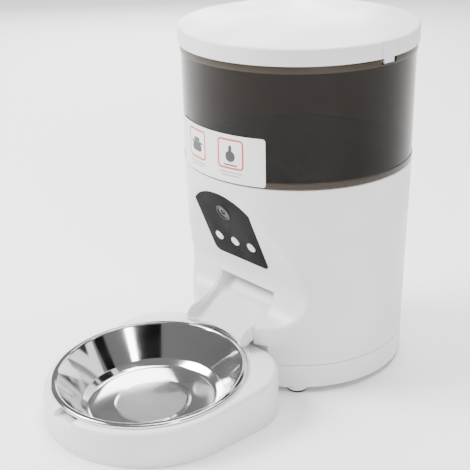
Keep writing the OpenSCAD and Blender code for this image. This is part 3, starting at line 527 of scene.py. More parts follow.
def make_panel():
    """The dark panel with a soft edge and its holes."""
    s = shape()
    top = 0.3 * MM
    soft = 0.25 * MM
    levels = [(0, top - s.panel_t), (0, top - soft)]
    levels += [(soft * (1 - math.cos(t)), top - soft * (1 - math.sin(t)))
               for t in np.linspace(math.pi / 8, math.pi / 2, 4)]
    place = panel_frame()
    rings = [[place @ Vector((x, y, z)) for x, y in panel_outline(-inset)] for inset, z in levels]
    panel = rings_solid("control_fascia_skin", rings)
    holes = [rod("hole", s.button_d / 2 + 0.35 * MM, -5 * MM, 5 * MM, at) for at in button_frames()]
    holes.append(rod("hole", s.window_d / 2 + 1.5 * MM, -5 * MM, 5 * MM, panel_frame(s.window_rise)))
    holes += [rod("hole", 0.8 * MM, -5 * MM, 5 * MM, panel_frame(up), 24) for up in (10.5 * MM, 33.6 * MM)]
    combine(panel, holes)
    finish_piece(panel, "tower", "fascia_black", "control_fascia")


def make_camera():
    """The camera's ring and its domed dark window."""
    s = shape()
    place = panel_frame(s.window_rise)
    inner = s.window_d / 2
    outer = inner + 1.5 * MM
    foot = -s.scoop_wall
    ring = spin("camera_ring", [(inner + 0.05 * MM, foot, 0), (outer, foot, 0), (outer, 0.9 * MM, 0.35 * MM),
                                (inner + 0.7 * MM, 0.9 * MM, 0.25 * MM),
                                (inner + 0.05 * MM, 0.35 * MM, 0.1 * MM)],
                96, place)
    finish_piece(ring, "tower", "camera_black", "camera_bezel")
    glass = spin("camera_glass", [(0, foot, 0), (inner, foot, 0), (inner, 0.12 * MM, 0.1 * MM),
                                  (inner * 0.72, 0.28 * MM, 0.8 * MM), (inner * 0.46, 0.28 * MM, 0.15 * MM),
                                  (inner * 0.40, -0.5 * MM, 0.2 * MM), (inner * 0.24, -0.5 * MM, 0.2 * MM),
                                  (inner * 0.16, -0.1 * MM, 0.3 * MM), (0, 0, 0)], 96, place)
    finish_piece(glass, "tower", "camera_glass", "camera_window")


def make_buttons():
    """Three round buttons with soft edges and a shallow dish."""
    s = shape()
    flange = -s.scoop_wall - 0.4 * MM
    top = 0.9 * MM
    radius = s.button_d / 2
    wide = radius + 1.2 * MM
    for name, place in zip(("button_left", "button_middle", "button_right"), button_frames()):
        button = spin(name + "_cap", [(0, flange - MM, 0), (wide, flange - MM, 0), (wide, flange, 0),
                                      (radius, flange, 0), (radius, top, 0.7 * MM),
                                      (radius * 0.6, top - 0.12 * MM, 1.0 * MM), (0, top - 0.2 * MM, 0)],
                      96, place)
        finish_piece(button, name, "white_buttons", name)


# ---------- lid and latches ----------

def lid_profile():
    """Section of the lid's shell as (radius, height, corner radius)."""
    s = shape()
    foot = TANK_TOP + 0.3 * MM
    return [(0, LID_TOP, 0), (LID_R, LID_TOP, 2.0 * MM), (LID_R, foot, 0.4 * MM),
            (LID_R - s.wall, foot, 0.2 * MM), (LID_R - s.wall, LID_TOP - s.wall, 1.5 * MM),
            (0, LID_TOP - s.wall, 0)]


def latch_block(side, grow):
    """The block of the lid's rim that a latch takes up."""
    s = shape()
    ends = sorted((side * (LID_R - s.latch_depth - grow), side * (LID_R + 2 * MM)))
    half = s.latch_w / 2 + grow
    return block("gate", (ends[0], -half, TANK_TOP - MM), (ends[1], half, LID_TOP + MM))


def make_lid():
    """The lid's shell, with a gap for each latch, and the screw posts inside it."""
    s = shape()
    lid = spin("lid_shell_skin", lid_profile(), 256, steps=8)
    combine(lid, [latch_block(side, 0.55 * MM) for side in (-1, 1)])
    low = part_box("lid_liner")[1].z
    posts = []
    for k in range(4):
        turn = Matrix.Rotation(math.radians(45 + 90 * k), 4, "Z")
        at = TOWER @ turn @ Matrix.Translation((60 * MM, 0, 0))
        posts.append(spin("post", [(1.5 * MM, low, 0), (4 * MM, low, 0.4 * MM),
                                   (4 * MM, LID_TOP - s.wall / 2, 0), (1.5 * MM, LID_TOP - s.wall / 2, 0)],
                          32, at))
    combine(lid, posts, "UNION")
    finish_piece(lid, "lid", "white_shell", "lid_shell")
    for name, side in (("latch_left", -1), ("latch_right", 1)):
        latch = spin(name + "_tab", lid_profile(), 256, steps=8)
        combine(latch, [latch_block(side, 0)], "INTERSECT")
        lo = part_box(name)[0]
        inner = sorted((side * (LID_R - 2.6 * MM), side * (LID_R - 1.2 * MM)))
        half = s.latch_w / 2 - 3 * MM
        nib = block("nib", (inner[0], -half, lo.z), (inner[1], half, TANK_TOP + MM))
        combine(latch, [nib], "UNION")
        finish_piece(latch, name, "white_shell", name)


# ---------- tank and label ----------

def make_tank():
    """The smoked tank: collar, tapering wall and foot band."""
    s = shape()
    top_r = LID_R - 1.4 * MM
    foot_r = BODY_TOP_R + 0.2 * MM
    skirt_out = BODY_TOP_R - s.wall - 1.2 * MM
    wall_foot = BODY_TOP + s.band_h
    wall_head = TANK_TOP - s.collar_h
    seat = foot_r - 11 * MM
    floor_r = foot_r - s.tank_wall - 0.6 * MM
    mouth_r = top_r - s.tank_wall - s.step
    edge = 0.35 * MM
    tank = spin("food_tank_skin", [
        (skirt_out - 2 * MM, TANK_LO.z, 0), (skirt_out, TANK_LO.z, 0.3 * MM), (skirt_out, BODY_TOP, 0),
        (foot_r, BODY_TOP, 0.4 * MM), (foot_r, wall_foot, edge), (foot_r - s.step, wall_foot, 0.1 * MM),
        (top_r - s.step, wall_head, 0.1 * MM), (top_r, wall_head, edge), (top_r, TANK_TOP, edge),
        (mouth_r, TANK_TOP, edge), (floor_r, wall_foot, 0), (floor_r, BODY_TOP + 2.5 * MM, 1.5 * MM),
        (seat, BODY_TOP + 2.5 * MM, 0.3 * MM), (seat, BODY_TOP, 0), (skirt_out - 2 * MM, BODY_TOP, 0)],
        256, steps=5)
    hook = LID_R - 4.6 * MM
    half = s.latch_w / 2 + 0.6 * MM
    gates = [block("gate", (min(side * hook, side * LID_R), -half, TANK_TOP - 4.6 * MM),
                   (max(side * hook, side * LID_R), half, TANK_TOP + MM)) for side in (-1, 1)]
    combine(tank, gates)
    mesh = tank.data
    mesh.materials.clear()
    mesh.materials.append(bpy.data.materials["smoked_tank"])
    mesh.materials.append(bpy.data.materials["smoked_rim"])
    for face in mesh.polygons:
        z = face.center.z
        face.material_index = 1 if z > wall_head - 0.2 * MM or z < wall_foot + 0.2 * MM else 0
    finish_piece(tank, "tank", "smoked_tank", "food_tank")


def make_label():
    """The white label that wraps the front of the tank."""
    inner_foot = LABEL_LO.z
    inner_head = LABEL_HI.z
    half = math.asin(LABEL_HI.x / (AXIS_Y - LABEL_LO.y))
    turns = np.linspace(-half, half, 64)
    foot_r = BODY_TOP_R + 0.2 * MM
    head_r = AXIS_Y - LABEL_LO.y
    corner = 2.5 * MM

    def ring(height, out):
        """One row of the label, front then back, drawn in at the rounded corners."""
        near = max(corner - min(height - inner_foot, inner_head - height), 0)
        draw = (corner - math.sqrt(corner * corner - near * near)) / foot_r
        part = turns * (half - draw) / half
        share = (height - inner_foot) / (inner_head - inner_foot)
        radius = foot_r + 0.15 * MM + (head_r - foot_r - 0.45 * MM) * share
        face = [(radius + out) * Vector((math.sin(t), -math.cos(t), 0)) for t in part]
        back = [radius * Vector((math.sin(t), -math.cos(t), 0)) for t in part[::-1]]
        return [TOWER @ (p + Vector((0, 0, height))) for p in face + back]

    rows = [inner_foot + corner * (1 - math.cos(t)) for t in np.linspace(0, math.pi / 2, 6)]
    rows += [inner_head - corner * (1 - math.cos(t)) for t in np.linspace(math.pi / 2, 0, 6)]
    label = rings_solid("tank_label_skin", [ring(z, 0.28 * MM) for z in rows])
    finish_piece(label, "tank", "label_paper", "tank_label")


# ---------- bowl and tray ----------

def make_bowl():
    """The pressed steel bowl with a rolled rim and a raised disc in its floor."""
    s = shape()
    rim = BOWL_R
    mouth = rim - s.rim_w
    floor = s.bowl_floor
    deep = -s.bowl_depth
    disc = 30 * MM
    t = s.sheet
    raise_by = 0.5 * MM
    bowl = spin("bowl_skin", [
        (0, deep + raise_by, 0), (disc, deep + raise_by, 1.2 * MM), (disc + 2 * MM, deep, 2 * MM),
        (floor - 6 * MM, deep, 7 * MM), (floor, deep + 5 * MM, 4 * MM), (mouth, -1.2 * MM, 1.2 * MM),
        (mouth + MM, 0, 0.7 * MM), (rim - MM, 0, 1.1 * MM), (rim, -MM, 0.6 * MM), (rim, -2.8 * MM, 0.3 * MM),
        (rim - t, -2.8 * MM, 0.1 * MM), (rim - t, -1.2 * MM, 0.2 * MM), (rim - 1.3 * MM, -t, 0.2 * MM),
        (mouth + 1.4 * MM, -t, 0.2 * MM), (mouth + t, -1.6 * MM, 0.3 * MM),
        (floor + t, deep + 4.6 * MM, 4.6 * MM), (floor - 5.6 * MM, deep - t, 6.4 * MM),
        (disc + 2 * MM, deep - t, MM), (disc, deep - t + raise_by, MM), (0, deep - t + raise_by, 0)],
        256, bowl_frame(s.tray_height + 3 * MM), steps=8)
    finish_piece(bowl, "bowl", "bowl_steel", "bowl")


def tray_outline():
    """Points and outward normals around the tray, in the tower's frame."""
    s = shape()
    centre = -BOWL_REACH
    corner = s.tray_corner
    over = TRAY_R - corner
    along = tray_rear() - corner
    out = []
    for t in np.radians(np.arange(180, 361, 2.0)):
        out.append((TRAY_R * math.cos(t), centre + TRAY_R * math.sin(t), math.cos(t), math.sin(t)))
    steps = 10
    out += [(TRAY_R, centre + (along - centre) * k / steps, 1, 0) for k in range(1, steps)]
    for t in np.radians(np.arange(0, 91, 3.0)):
        out.append((over + corner * math.cos(t), along + corner * math.sin(t), math.cos(t), math.sin(t)))
    out += [(over - 2 * over * k / (2 * steps), tray_rear(), 0, 1) for k in range(1, 2 * steps)]
    for t in np.radians(np.arange(90, 181, 3.0)):
        out.append((-over + corner * math.cos(t), along + corner * math.sin(t), math.cos(t), math.sin(t)))
    out += [(-TRAY_R, along - (along - centre) * k / steps, -1, 0) for k in range(1, steps)]
    return out


def make_tray():
    """The tray: a soft-edged skirt, a sloping top with a round well, and a finger notch."""
    s = shape()
    outline = tray_outline()
    place = bowl_frame(s.tray_height)
    wall = s.wall
    well = BOWL_R - s.rim_w + 1.6 * MM
    slope = math.tan(s.tray_slope)

    def skirt(inset, drop=None, z=None):
        """A ring along the outline, at a height or so far under the sloping top."""
        ring = []
        for x, y, nx, ny in outline:
            px, py = x - nx * inset, y - ny * inset
            height = z if z is not None else s.tray_height + (py + BOWL_REACH) * slope - drop
            ring.append(TOWER @ Vector((px, py, height)))
        return ring

    def round_ring(radius, z):
        """A ring around the well, in the frame of the sloping top."""
        turns = [math.atan2(y + BOWL_REACH, x) for x, y, _, _ in outline]
        return [place @ Vector((radius * math.cos(t), radius * math.sin(t), z)) for t in turns]

    edge = s.tray_edge
    foot = 0.5 * MM
    rings = [skirt(wall, z=TRAY_LIFT), skirt(foot, z=TRAY_LIFT), skirt(0.15 * MM, z=TRAY_LIFT + 0.15 * MM),
             skirt(0, z=TRAY_LIFT + foot)]
    rings += [skirt(edge * (1 - math.cos(t)), edge * (1 - math.sin(t)))
              for t in np.linspace(0, math.pi / 2, 9)]
    lip = 0.9 * MM
    rings += [round_ring(well + lip * (1 - math.sin(t)), -lip * (1 - math.cos(t)))
              for t in np.linspace(0, math.pi / 2, 6)]
    rings += [round_ring(well, -wall), skirt(wall + 3 * MM, wall), skirt(wall, wall + 3 * MM)]
    tray = rings_solid("bowl_tray_skin", rings, loop=True)
    front = -TRAY_R + MM
    pan = block("pan", (-14 * MM, front, -8 * MM), (14 * MM, front + 11 * MM, -wall / 2), place)
    combine(tray, [pan], "UNION")
    combine(tray, [notch_tool(place), rod("hollow", well, -12 * MM, MM, place, 192)])
    tongue_lo, tongue_hi = 10 * MM, 14 * MM
    rear = tray_rear()
    tongues = [block("tongue", (x - 5 * MM, rear - wall / 2, tongue_lo),
                     (x + 5 * MM, rear + 8 * MM, tongue_hi))
               for x in (-30 * MM, 30 * MM)]
    posts = [rod("post", 6 * MM, TRAY_LIFT, s.tray_height - 5 * MM, at, 48) for at in pad_frames()]
    sockets = [rod("socket", 4.6 * MM, -MM, TRAY_LIFT + MM, at, 48) for at in pad_frames()]
    combine(tray, tongues + posts, "UNION")
    combine(tray, sockets)
    finish_piece(tray, "tray", "white_shell", "bowl_tray")


def notch_tool(place):
    """The rounded block that cuts the finger notch in the tray's front."""
    half = 12 * MM
    drop = 5.5 * MM
    front = -TRAY_R - 5 * MM
    outline = rounded([(-half, -drop, 2.4 * MM), (half, -drop, 2.4 * MM),
                       (half, 8 * MM, 0), (-half, 8 * MM, 0)], 8)
    rings = [[place @ Vector((x, y, z)) for x, z in outline] for y in (front, front + 20 * MM)]
    return rings_solid("notch", rings)


def pad_frames():
    """Frames of the tray's four pads."""
    s = shape()
    at = []
    for side in (-1, 1):
        over = side * (TRAY_R - s.tray_corner)
        reach = (s.tray_corner - 7 * MM) * math.sqrt(0.5)
        at.append(TOWER @ Matrix.Translation((over + side * reach, tray_rear() - s.tray_corner + reach, 0)))
        turn = Matrix.Rotation(side * math.radians(40), 4, "Z")
        at.append(TOWER @ Matrix.Translation((0, -BOWL_REACH, 0)) @ turn
                  @ Matrix.Translation((0, 7 * MM - TRAY_R, 0)))
    return at


# ---------- chute ----------

def ramp_height(y):
    """Height of the chute's floor at a distance from the tower's axis."""
    s = shape()
    ys = [NOSE_Y - 9 * MM, NOSE_Y + 6.5 * MM, -79 * MM, -57 * MM, -50 * MM, -26 * MM]
    zs = [s.lip_z, s.lip_z, 53.5 * MM, 65 * MM, 73 * MM, DECK_UNDER]
    return float(np.interp(y, ys, zs))


def chute_top(y):
    """Height of the chute's walls: just under the scoop, and rounded down at the nose."""
    s = shape()
    middle_y, middle_z = scoop_middle()
    radius = s.scoop_radius + 0.3 * MM
    last_y = middle_y + radius * math.sin(s.scoop_fall)
    last_z = middle_z - radius * math.cos(s.scoop_fall)
    nose = [NOSE_Y, NOSE_Y + 0.5 * MM, NOSE_Y + 3 * MM, NOSE_Y + 6 * MM, last_y]
    tops = [s.lip_z + 5 * MM, s.lip_z + 7.3 * MM, s.lip_z + 10.5 * MM, s.lip_z + 12.7 * MM, last_z]
    if y < last_y:
        return float(np.interp(y, nose, tops))
    reach = min(y - middle_y, radius * math.cos(math.radians(10)))
    return middle_z - math.sqrt(radius * radius - reach * reach)


def make_chute():
    """The chute: a channel with filleted walls, a lip that follows the bowl, and a rounded nose."""
    s = shape()
    half = CHUTE_HALF
    thin = 2 * MM
    middle_y = scoop_middle()[0]
    radius = s.scoop_radius + 0.3 * MM
    front = NOSE_Y
    stations = [front + d * MM for d in (0.02, 0.15, 0.5, 1.2, 2.2, 3.4, 5, 7, 10, 13)]
    stations += [y for y in (middle_y + radius * math.cos(math.radians(a)) for a in range(-78, -9, 4))
                 if y > stations[-1] + MM]
    foot = chute_foot()
    rings = []
    for y in stations:
        rings.append(chute_section(y, ramp_height(y), chute_top(y), half, thin))
    for y, top in ((foot, s.scoop_height - 4.5 * MM), (foot + 0.2 * MM, s.scoop_height + 4.5 * MM),
                   (-50 * MM, DECK_UNDER - MM), (-48 * MM, DECK_UNDER), (-37 * MM, DECK_UNDER),
                   (-27 * MM, DECK_UNDER)):
        rings.append(chute_section(y, min(ramp_height(y), top - 1.5 * MM), top, half, thin))
    chute = rings_solid("chute_skin", rings, sharp=40)
    lip = rod("lip", BOWL_R - 1.3 * MM, 0, s.lip_z + MM, TOWER @ Matrix.Translation((0, -BOWL_REACH, 0)), 256)
    inside = block("inside", (-half + thin, -0.2, 0), (half - thin, 0, s.lip_z + MM))
    combine(lip, [inside], "INTERSECT")
    combine(chute, [lip], sharp=40)
    finish_piece(chute, "tower", "white_shell", "chute")


def chute_section(y, floor, top, half, thin):
    """One ring of the chute's U-shaped section at a distance y."""
    s = shape()
    under = floor - 2.3 * MM
    if y < NOSE_Y + 2.5 * MM:
        under = s.lip_z - 2 * MM * min((y - NOSE_Y) / (2.5 * MM), 1)
        floor = min(floor, top - 0.5 * MM)
    fillet = max(min(s.channel_fillet, (top - floor) * 0.8), 0.2 * MM)
    crown = min(0.9 * MM, (top - under) * 0.2)
    inner = half - thin
    corners = [(-half, under, 0.3 * MM), (half, under, 0.3 * MM), (half, top, crown), (inner, top, crown),
               (inner, floor, fillet), (-inner, floor, fillet), (-inner, top, crown), (-half, top, crown)]
    return [TOWER @ Vector((x, y, z)) for x, z in rounded(corners, 8)]


# ---------- feet, made with instances ----------

# ---------- feet ----------

def pads_tree():
    """A node tree that sets a pad on each of several turns around a circle."""
    tree = bpy.data.node_groups.new("PadRing", "GeometryNodeTree")
    face = tree.interface
    face.new_socket("Geometry", in_out="INPUT", socket_type="NodeSocketGeometry")
    pad = face.new_socket("Pad", in_out="INPUT", socket_type="NodeSocketObject")
    count = face.new_socket("Count", in_out="INPUT", socket_type="NodeSocketInt")
    radius = face.new_socket("Circle Radius", in_out="INPUT", socket_type="NodeSocketFloat")
    finish = face.new_socket("Material", in_out="INPUT", socket_type="NodeSocketMaterial")
    face.new_socket("Geometry", in_out="OUTPUT", socket_type="NodeSocketGeometry")
    nodes, links = tree.nodes, tree.links
    enter = nodes.new("NodeGroupInput")
    leave = nodes.new("NodeGroupOutput")
    circle = nodes.new("GeometryNodeMeshCircle")
    spot = nodes.new("GeometryNodeInstanceOnPoints")
    thing = nodes.new("GeometryNodeObjectInfo")
    real = nodes.new("GeometryNodeRealizeInstances")
    paint = nodes.new("GeometryNodeSetMaterial")
    turn = nodes.new("GeometryNodeTransform")
    turn.inputs["Rotation"].default_value = (0, 0, math.pi / 4)
    links.new(enter.outputs["Count"], circle.inputs["Vertices"])
    links.new(enter.outputs["Circle Radius"], circle.inputs["Radius"])
    links.new(circle.outputs["Mesh"], turn.inputs["Geometry"])
    links.new(turn.outputs["Geometry"], spot.inputs["Points"])
    links.new(enter.outputs["Pad"], thing.inputs["Object"])
    links.new(thing.outputs["Geometry"], spot.inputs["Instance"])
    links.new(spot.outputs["Instances"], real.inputs["Geometry"])
    links.new(real.outputs["Geometry"], paint.inputs["Geometry"])
    links.new(enter.outputs["Material"], paint.inputs["Material"])
    links.new(paint.outputs["Geometry"], leave.inputs["Geometry"])
    return tree, {"pad": pad.identifier, "count": count.identifier,
                  "radius": radius.identifier, "finish": finish.identifier}


def make_feet():
    """Four ribbed rubber pads under the tower."""
    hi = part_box("foot_pads")[1]
    radius = 8.5 * MM
    circle = (hi.x - radius) / math.cos(math.pi / 4)
    rib = radius / 6
    profile = [(0, 2 * MM, 0), (0, 0.3 * MM, 0)]
    for k in range(1, 5):
        near = rib * (k - 0.25)
        profile += [(near, 0.3 * MM, 0), (near + 0.2 * MM, 0, 0.05 * MM), (near + rib * 0.5, 0, 0.05 * MM),
                    (near + rib * 0.5 + 0.2 * MM, 0.3 * MM, 0)]
    profile += [(radius - 1.2 * MM, 0, 0), (radius, 0, 0.3 * MM), (radius, 2 * MM, 0.1 * MM)]
    pad = spin("pad", profile, 64, Matrix.Identity(4), steps=3)
    base = bpy.data.meshes.new("foot_pads_ring")
    feet = bpy.data.objects.new("foot_pads_skin", base)
    bpy.context.scene.collection.objects.link(feet)
    tree, sockets = pads_tree()
    nodes = feet.modifiers.new("pads", "NODES")
    nodes.node_group = tree
    nodes[sockets["pad"]] = pad
    nodes[sockets["count"]] = 4
    nodes[sockets["radius"]] = circle
    nodes[sockets["finish"]] = bpy.data.materials["black_rubber"]
    graph = bpy.context.evaluated_depsgraph_get()
    made = bpy.data.meshes.new_from_object(feet.evaluated_get(graph))
    feet.modifiers.clear()
    made.transform(TOWER)
    feet.data = made
    bpy.data.objects.remove(pad)
    finish_piece(feet, "tower", "black_rubber", "foot_pads")


# ---------- shared shader groups ----------

def group(name, inputs, outputs):
    """A shader node group with float, colour or vector sockets: (name, kind, default)."""
    kinds = {"float": "NodeSocketFloat", "colour": "NodeSocketColor", "vector": "NodeSocketVector"}
    tree = bpy.data.node_groups.new(name, "ShaderNodeTree")
    for label, kind, default in inputs:
        socket = tree.interface.new_socket(label, in_out="INPUT", socket_type=kinds[kind])
        if default is not None:
            socket.default_value = default
    for label, kind in outputs:
        tree.interface.new_socket(label, in_out="OUTPUT", socket_type=kinds[kind])
    return tree, tree.nodes.new("NodeGroupInput"), tree.nodes.new("NodeGroupOutput")


def noise(tree, vector, scale, detail=2.0, seed=0.0):
    """A noise texture over a vector, shifted by the seed."""
    shift = tree.nodes.new("ShaderNodeVectorMath")
    shift.inputs[1].default_value = (seed, seed * 0.7, seed * 1.3)
    tree.links.new(vector, shift.inputs[0])
    made = tree.nodes.new("ShaderNodeTexNoise")
    made.inputs["Scale"].default_value = scale
    made.inputs["Detail"].default_value = detail
    tree.links.new(shift.outputs[0], made.inputs["Vector"])
    return made.outputs["Fac"]


def ranged(tree, value, low, high):
    """A value from 0..1 spread to low..high, where either end may be a number or a socket."""
    made = tree.nodes.new("ShaderNodeMapRange")
    made.inputs["From Min"].default_value = 0.3
    made.inputs["From Max"].default_value = 0.7
    tree.links.new(value, made.inputs["Value"])
    for socket, end in (("To Min", low), ("To Max", high)):
        if isinstance(end, (int, float)):
            made.inputs[socket].default_value = end
        else:
            tree.links.new(end, made.inputs[socket])
    return made.outputs["Result"]


def math_node(tree, operation, a, b=0.0, c=0.0):
    """A math node over sockets or numbers."""
    made = tree.nodes.new("ShaderNodeMath")
    made.operation = operation
    for socket, value in zip(made.inputs, (a, b, c)):
        if isinstance(value, (int, float)):
            socket.default_value = value
        else:
            tree.links.new(value, socket)
    return made.outputs[0]


def moulded_group():
    """Fine moulded grain as a normal, with slow smudges and a little dust in the lowest places."""
    tree, enter, leave = group("Moulded", [("Grain", "float", 0.1), ("Scale", "float", 2500.0)],
                               [("Normal", "vector"), ("Smudge", "float"), ("Dust", "float")])
    seed = bpy.context.scene.feeder_finish.seed
    place = tree.nodes.new("ShaderNodeTexCoord").outputs["Object"]
    fine = tree.nodes.new("ShaderNodeTexNoise")
    fine.inputs["Detail"].default_value = 3.0
    tree.links.new(place, fine.inputs["Vector"])
    tree.links.new(enter.outputs["Scale"], fine.inputs["Scale"])
    bump = tree.nodes.new("ShaderNodeBump")
    bump.inputs["Distance"].default_value = 0.05 * MM
    tree.links.new(enter.outputs["Grain"], bump.inputs["Strength"])
    tree.links.new(fine.outputs["Fac"], bump.inputs["Height"])
    tree.links.new(bump.outputs["Normal"], leave.inputs["Normal"])
    smudge = noise(tree, place, 22.0, 4.0, seed)
    tree.links.new(ranged(tree, smudge, 0.0, 1.0), leave.inputs["Smudge"])
    up = tree.nodes.new("ShaderNodeNewGeometry")
    split = tree.nodes.new("ShaderNodeSeparateXYZ")
    tree.links.new(up.outputs["Normal"], split.inputs[0])
    flat = ranged(tree, split.outputs["Z"], 0.0, 1.0)
    speck = ranged(tree, noise(tree, place, 900.0, 2.0, seed + 3), 0.0, 0.35)
    tree.links.new(math_node(tree, "MULTIPLY", flat, speck), leave.inputs["Dust"])
    return tree


def turned_group():
    """Fine rings around the bowl's middle, as a normal, with a mask for its centre disc."""
    tree, enter, leave = group("Turned", [("Depth", "float", 0.2), ("Disc", "float", 0.03)],
                               [("Normal", "vector"), ("Centre", "float"), ("Rings", "float")])
    place = tree.nodes.new("ShaderNodeTexCoord").outputs["Object"]
    offset = tree.nodes.new("ShaderNodeVectorMath")
    offset.operation = "SUBTRACT"
    middle = bowl_frame(shape().tray_height).translation
    offset.inputs[1].default_value = middle
    tree.links.new(place, offset.inputs[0])
    flatten = tree.nodes.new("ShaderNodeVectorMath")
    flatten.operation = "MULTIPLY"
    flatten.inputs[1].default_value = (1, 1, 0)
    tree.links.new(offset.outputs[0], flatten.inputs[0])
    reach = tree.nodes.new("ShaderNodeVectorMath")
    reach.operation = "LENGTH"
    tree.links.new(flatten.outputs[0], reach.inputs[0])
    line = tree.nodes.new("ShaderNodeCombineXYZ")
    tree.links.new(reach.outputs["Value"], line.inputs["X"])
    rings = noise(tree, line.outputs[0], 2600.0, 3.0, bpy.context.scene.feeder_finish.seed)
    bump = tree.nodes.new("ShaderNodeBump")
    bump.inputs["Distance"].default_value = 0.02 * MM
    tree.links.new(enter.outputs["Depth"], bump.inputs["Strength"])
    tree.links.new(rings, bump.inputs["Height"])
    tree.links.new(bump.outputs["Normal"], leave.inputs["Normal"])
    inside = math_node(tree, "LESS_THAN", reach.outputs["Value"], enter.outputs["Disc"])
    tree.links.new(inside, leave.inputs["Centre"])
    tree.links.new(rings, leave.inputs["Rings"])
    return tree


# ---------- materials ----------

def material(name):
    """A new material, returned as its tree and its Principled node."""
    made = bpy.data.materials.new(name)
    made.use_nodes = True
    return made.node_tree, made.node_tree.nodes["Principled BSDF"]


def use(tree, name, **values):
    """A group node with constants set on its sockets."""
    node = tree.nodes.new("ShaderNodeGroup")
    node.node_tree = bpy.data.node_groups[name]
    for label, value in values.items():
        node.inputs[label].default_value = value
    return node


def blend_colours(tree, factor, a, b):
    """A mix of two colours, each a tuple or a socket."""
    mix = tree.nodes.new("ShaderNodeMix")
    mix.data_type = "RGBA"
    tree.links.new(factor, mix.inputs["Factor"])
    for socket, value in ((mix.inputs[6], a), (mix.inputs[7], b)):
        if isinstance(value, tuple):
            socket.default_value = (*value, 1)
        else:
            tree.links.new(value, socket)
    return mix.outputs[2]


def plastic(name, colour, roughness, grain=1.0, scale=2500.0, dust=(0.55, 0.53, 0.5), **more):
    """Moulded plastic or rubber: fine grain, uneven shine and a trace of dust."""
    finish = bpy.context.scene.feeder_finish
    tree, shader = material(name)
    feel = use(tree, "Moulded", Grain=finish.grain * grain, Scale=scale)
    shade = tuple(c * 0.94 for c in colour)
    toned = blend_colours(tree, feel.outputs["Smudge"], colour, shade)
    dusted = blend_colours(tree, math_node(tree, "MULTIPLY", feel.outputs["Dust"], 0.12), toned, dust)
    tree.links.new(dusted, shader.inputs["Base Color"])
    shine = ranged(tree, feel.outputs["Smudge"], roughness - finish.smudge / 2, roughness + finish.smudge / 2)
    tree.links.new(shine, shader.inputs["Roughness"])
    tree.links.new(feel.outputs["Normal"], shader.inputs["Normal"])
    for label, value in more.items():
        shader.inputs[label.replace("_", " ")].default_value = value


def metal(name, colour, roughness):
    """Plated or drawn metal with a slightly uneven shine."""
    tree, shader = material(name)
    feel = use(tree, "Moulded", Grain=0.05, Scale=1200.0)
    shader.inputs["Base Color"].default_value = (*colour, 1)
    shader.inputs["Metallic"].default_value = 1.0
    shine = ranged(tree, feel.outputs["Smudge"], roughness * 0.7, roughness * 1.3)
    tree.links.new(shine, shader.inputs["Roughness"])
    tree.links.new(feel.outputs["Normal"], shader.inputs["Normal"])


def bowl_steel():
    """Polished steel with faint turned rings and a duller centre disc."""
    tree, shader = material("bowl_steel")
    turned = use(tree, "Turned", Depth=0.10, Disc=0.0295)
    feel = use(tree, "Moulded", Grain=0.0, Scale=300.0)
    shader.inputs["Base Color"].default_value = (*colours().steel, 1)
    shader.inputs["Metallic"].default_value = 1.0
    wall = ranged(tree, feel.outputs["Smudge"], 0.07, 0.12)
    disc = ranged(tree, turned.outputs["Rings"], 0.16, 0.30)
    both = tree.nodes.new("ShaderNodeMix")
    tree.links.new(turned.outputs["Centre"], both.inputs["Factor"])
    tree.links.new(wall, both.inputs["A"])
    tree.links.new(disc, both.inputs["B"])
    tree.links.new(both.outputs["Result"], shader.inputs["Roughness"])
    tree.links.new(turned.outputs["Normal"], shader.inputs["Normal"])


def smoked(name, colour, rough, through, index, shine_level):
    """Smoked clear plastic: tinted, glossy, and partly see-through."""
    tree, shader = material(name)
    feel = use(tree, "Moulded", Grain=0.0, Scale=300.0)
    tree.links.new(blend_colours(tree, feel.outputs["Smudge"], colour, tuple(c * 0.9 for c in colour)),
                   shader.inputs["Base Color"])
    shine = ranged(tree, feel.outputs["Smudge"], rough, rough + 0.04)
    tree.links.new(shine, shader.inputs["Roughness"])
    shader.inputs["Transmission Weight"].default_value = through
    shader.inputs["IOR"].default_value = index
    shader.inputs["Specular IOR Level"].default_value = shine_level


def rounded_box(tree, u, v, middle, half, corner):
    """Signed distance from (u, v) to a rounded rectangle."""
    du = math_node(tree, "SUBTRACT", math_node(tree, "ABSOLUTE", math_node(tree, "SUBTRACT", u, middle[0])),
                   half[0] - corner)
    dv = math_node(tree, "SUBTRACT", math_node(tree, "ABSOLUTE", math_node(tree, "SUBTRACT", v, middle[1])),
                   half[1] - corner)
    du = math_node(tree, "MAXIMUM", du, 0.0)
    dv = math_node(tree, "MAXIMUM", dv, 0.0)
    squares = math_node(tree, "ADD", math_node(tree, "MULTIPLY", du, du), math_node(tree, "MULTIPLY", dv, dv))
    return math_node(tree, "SUBTRACT", math_node(tree, "SQRT", squares), corner)


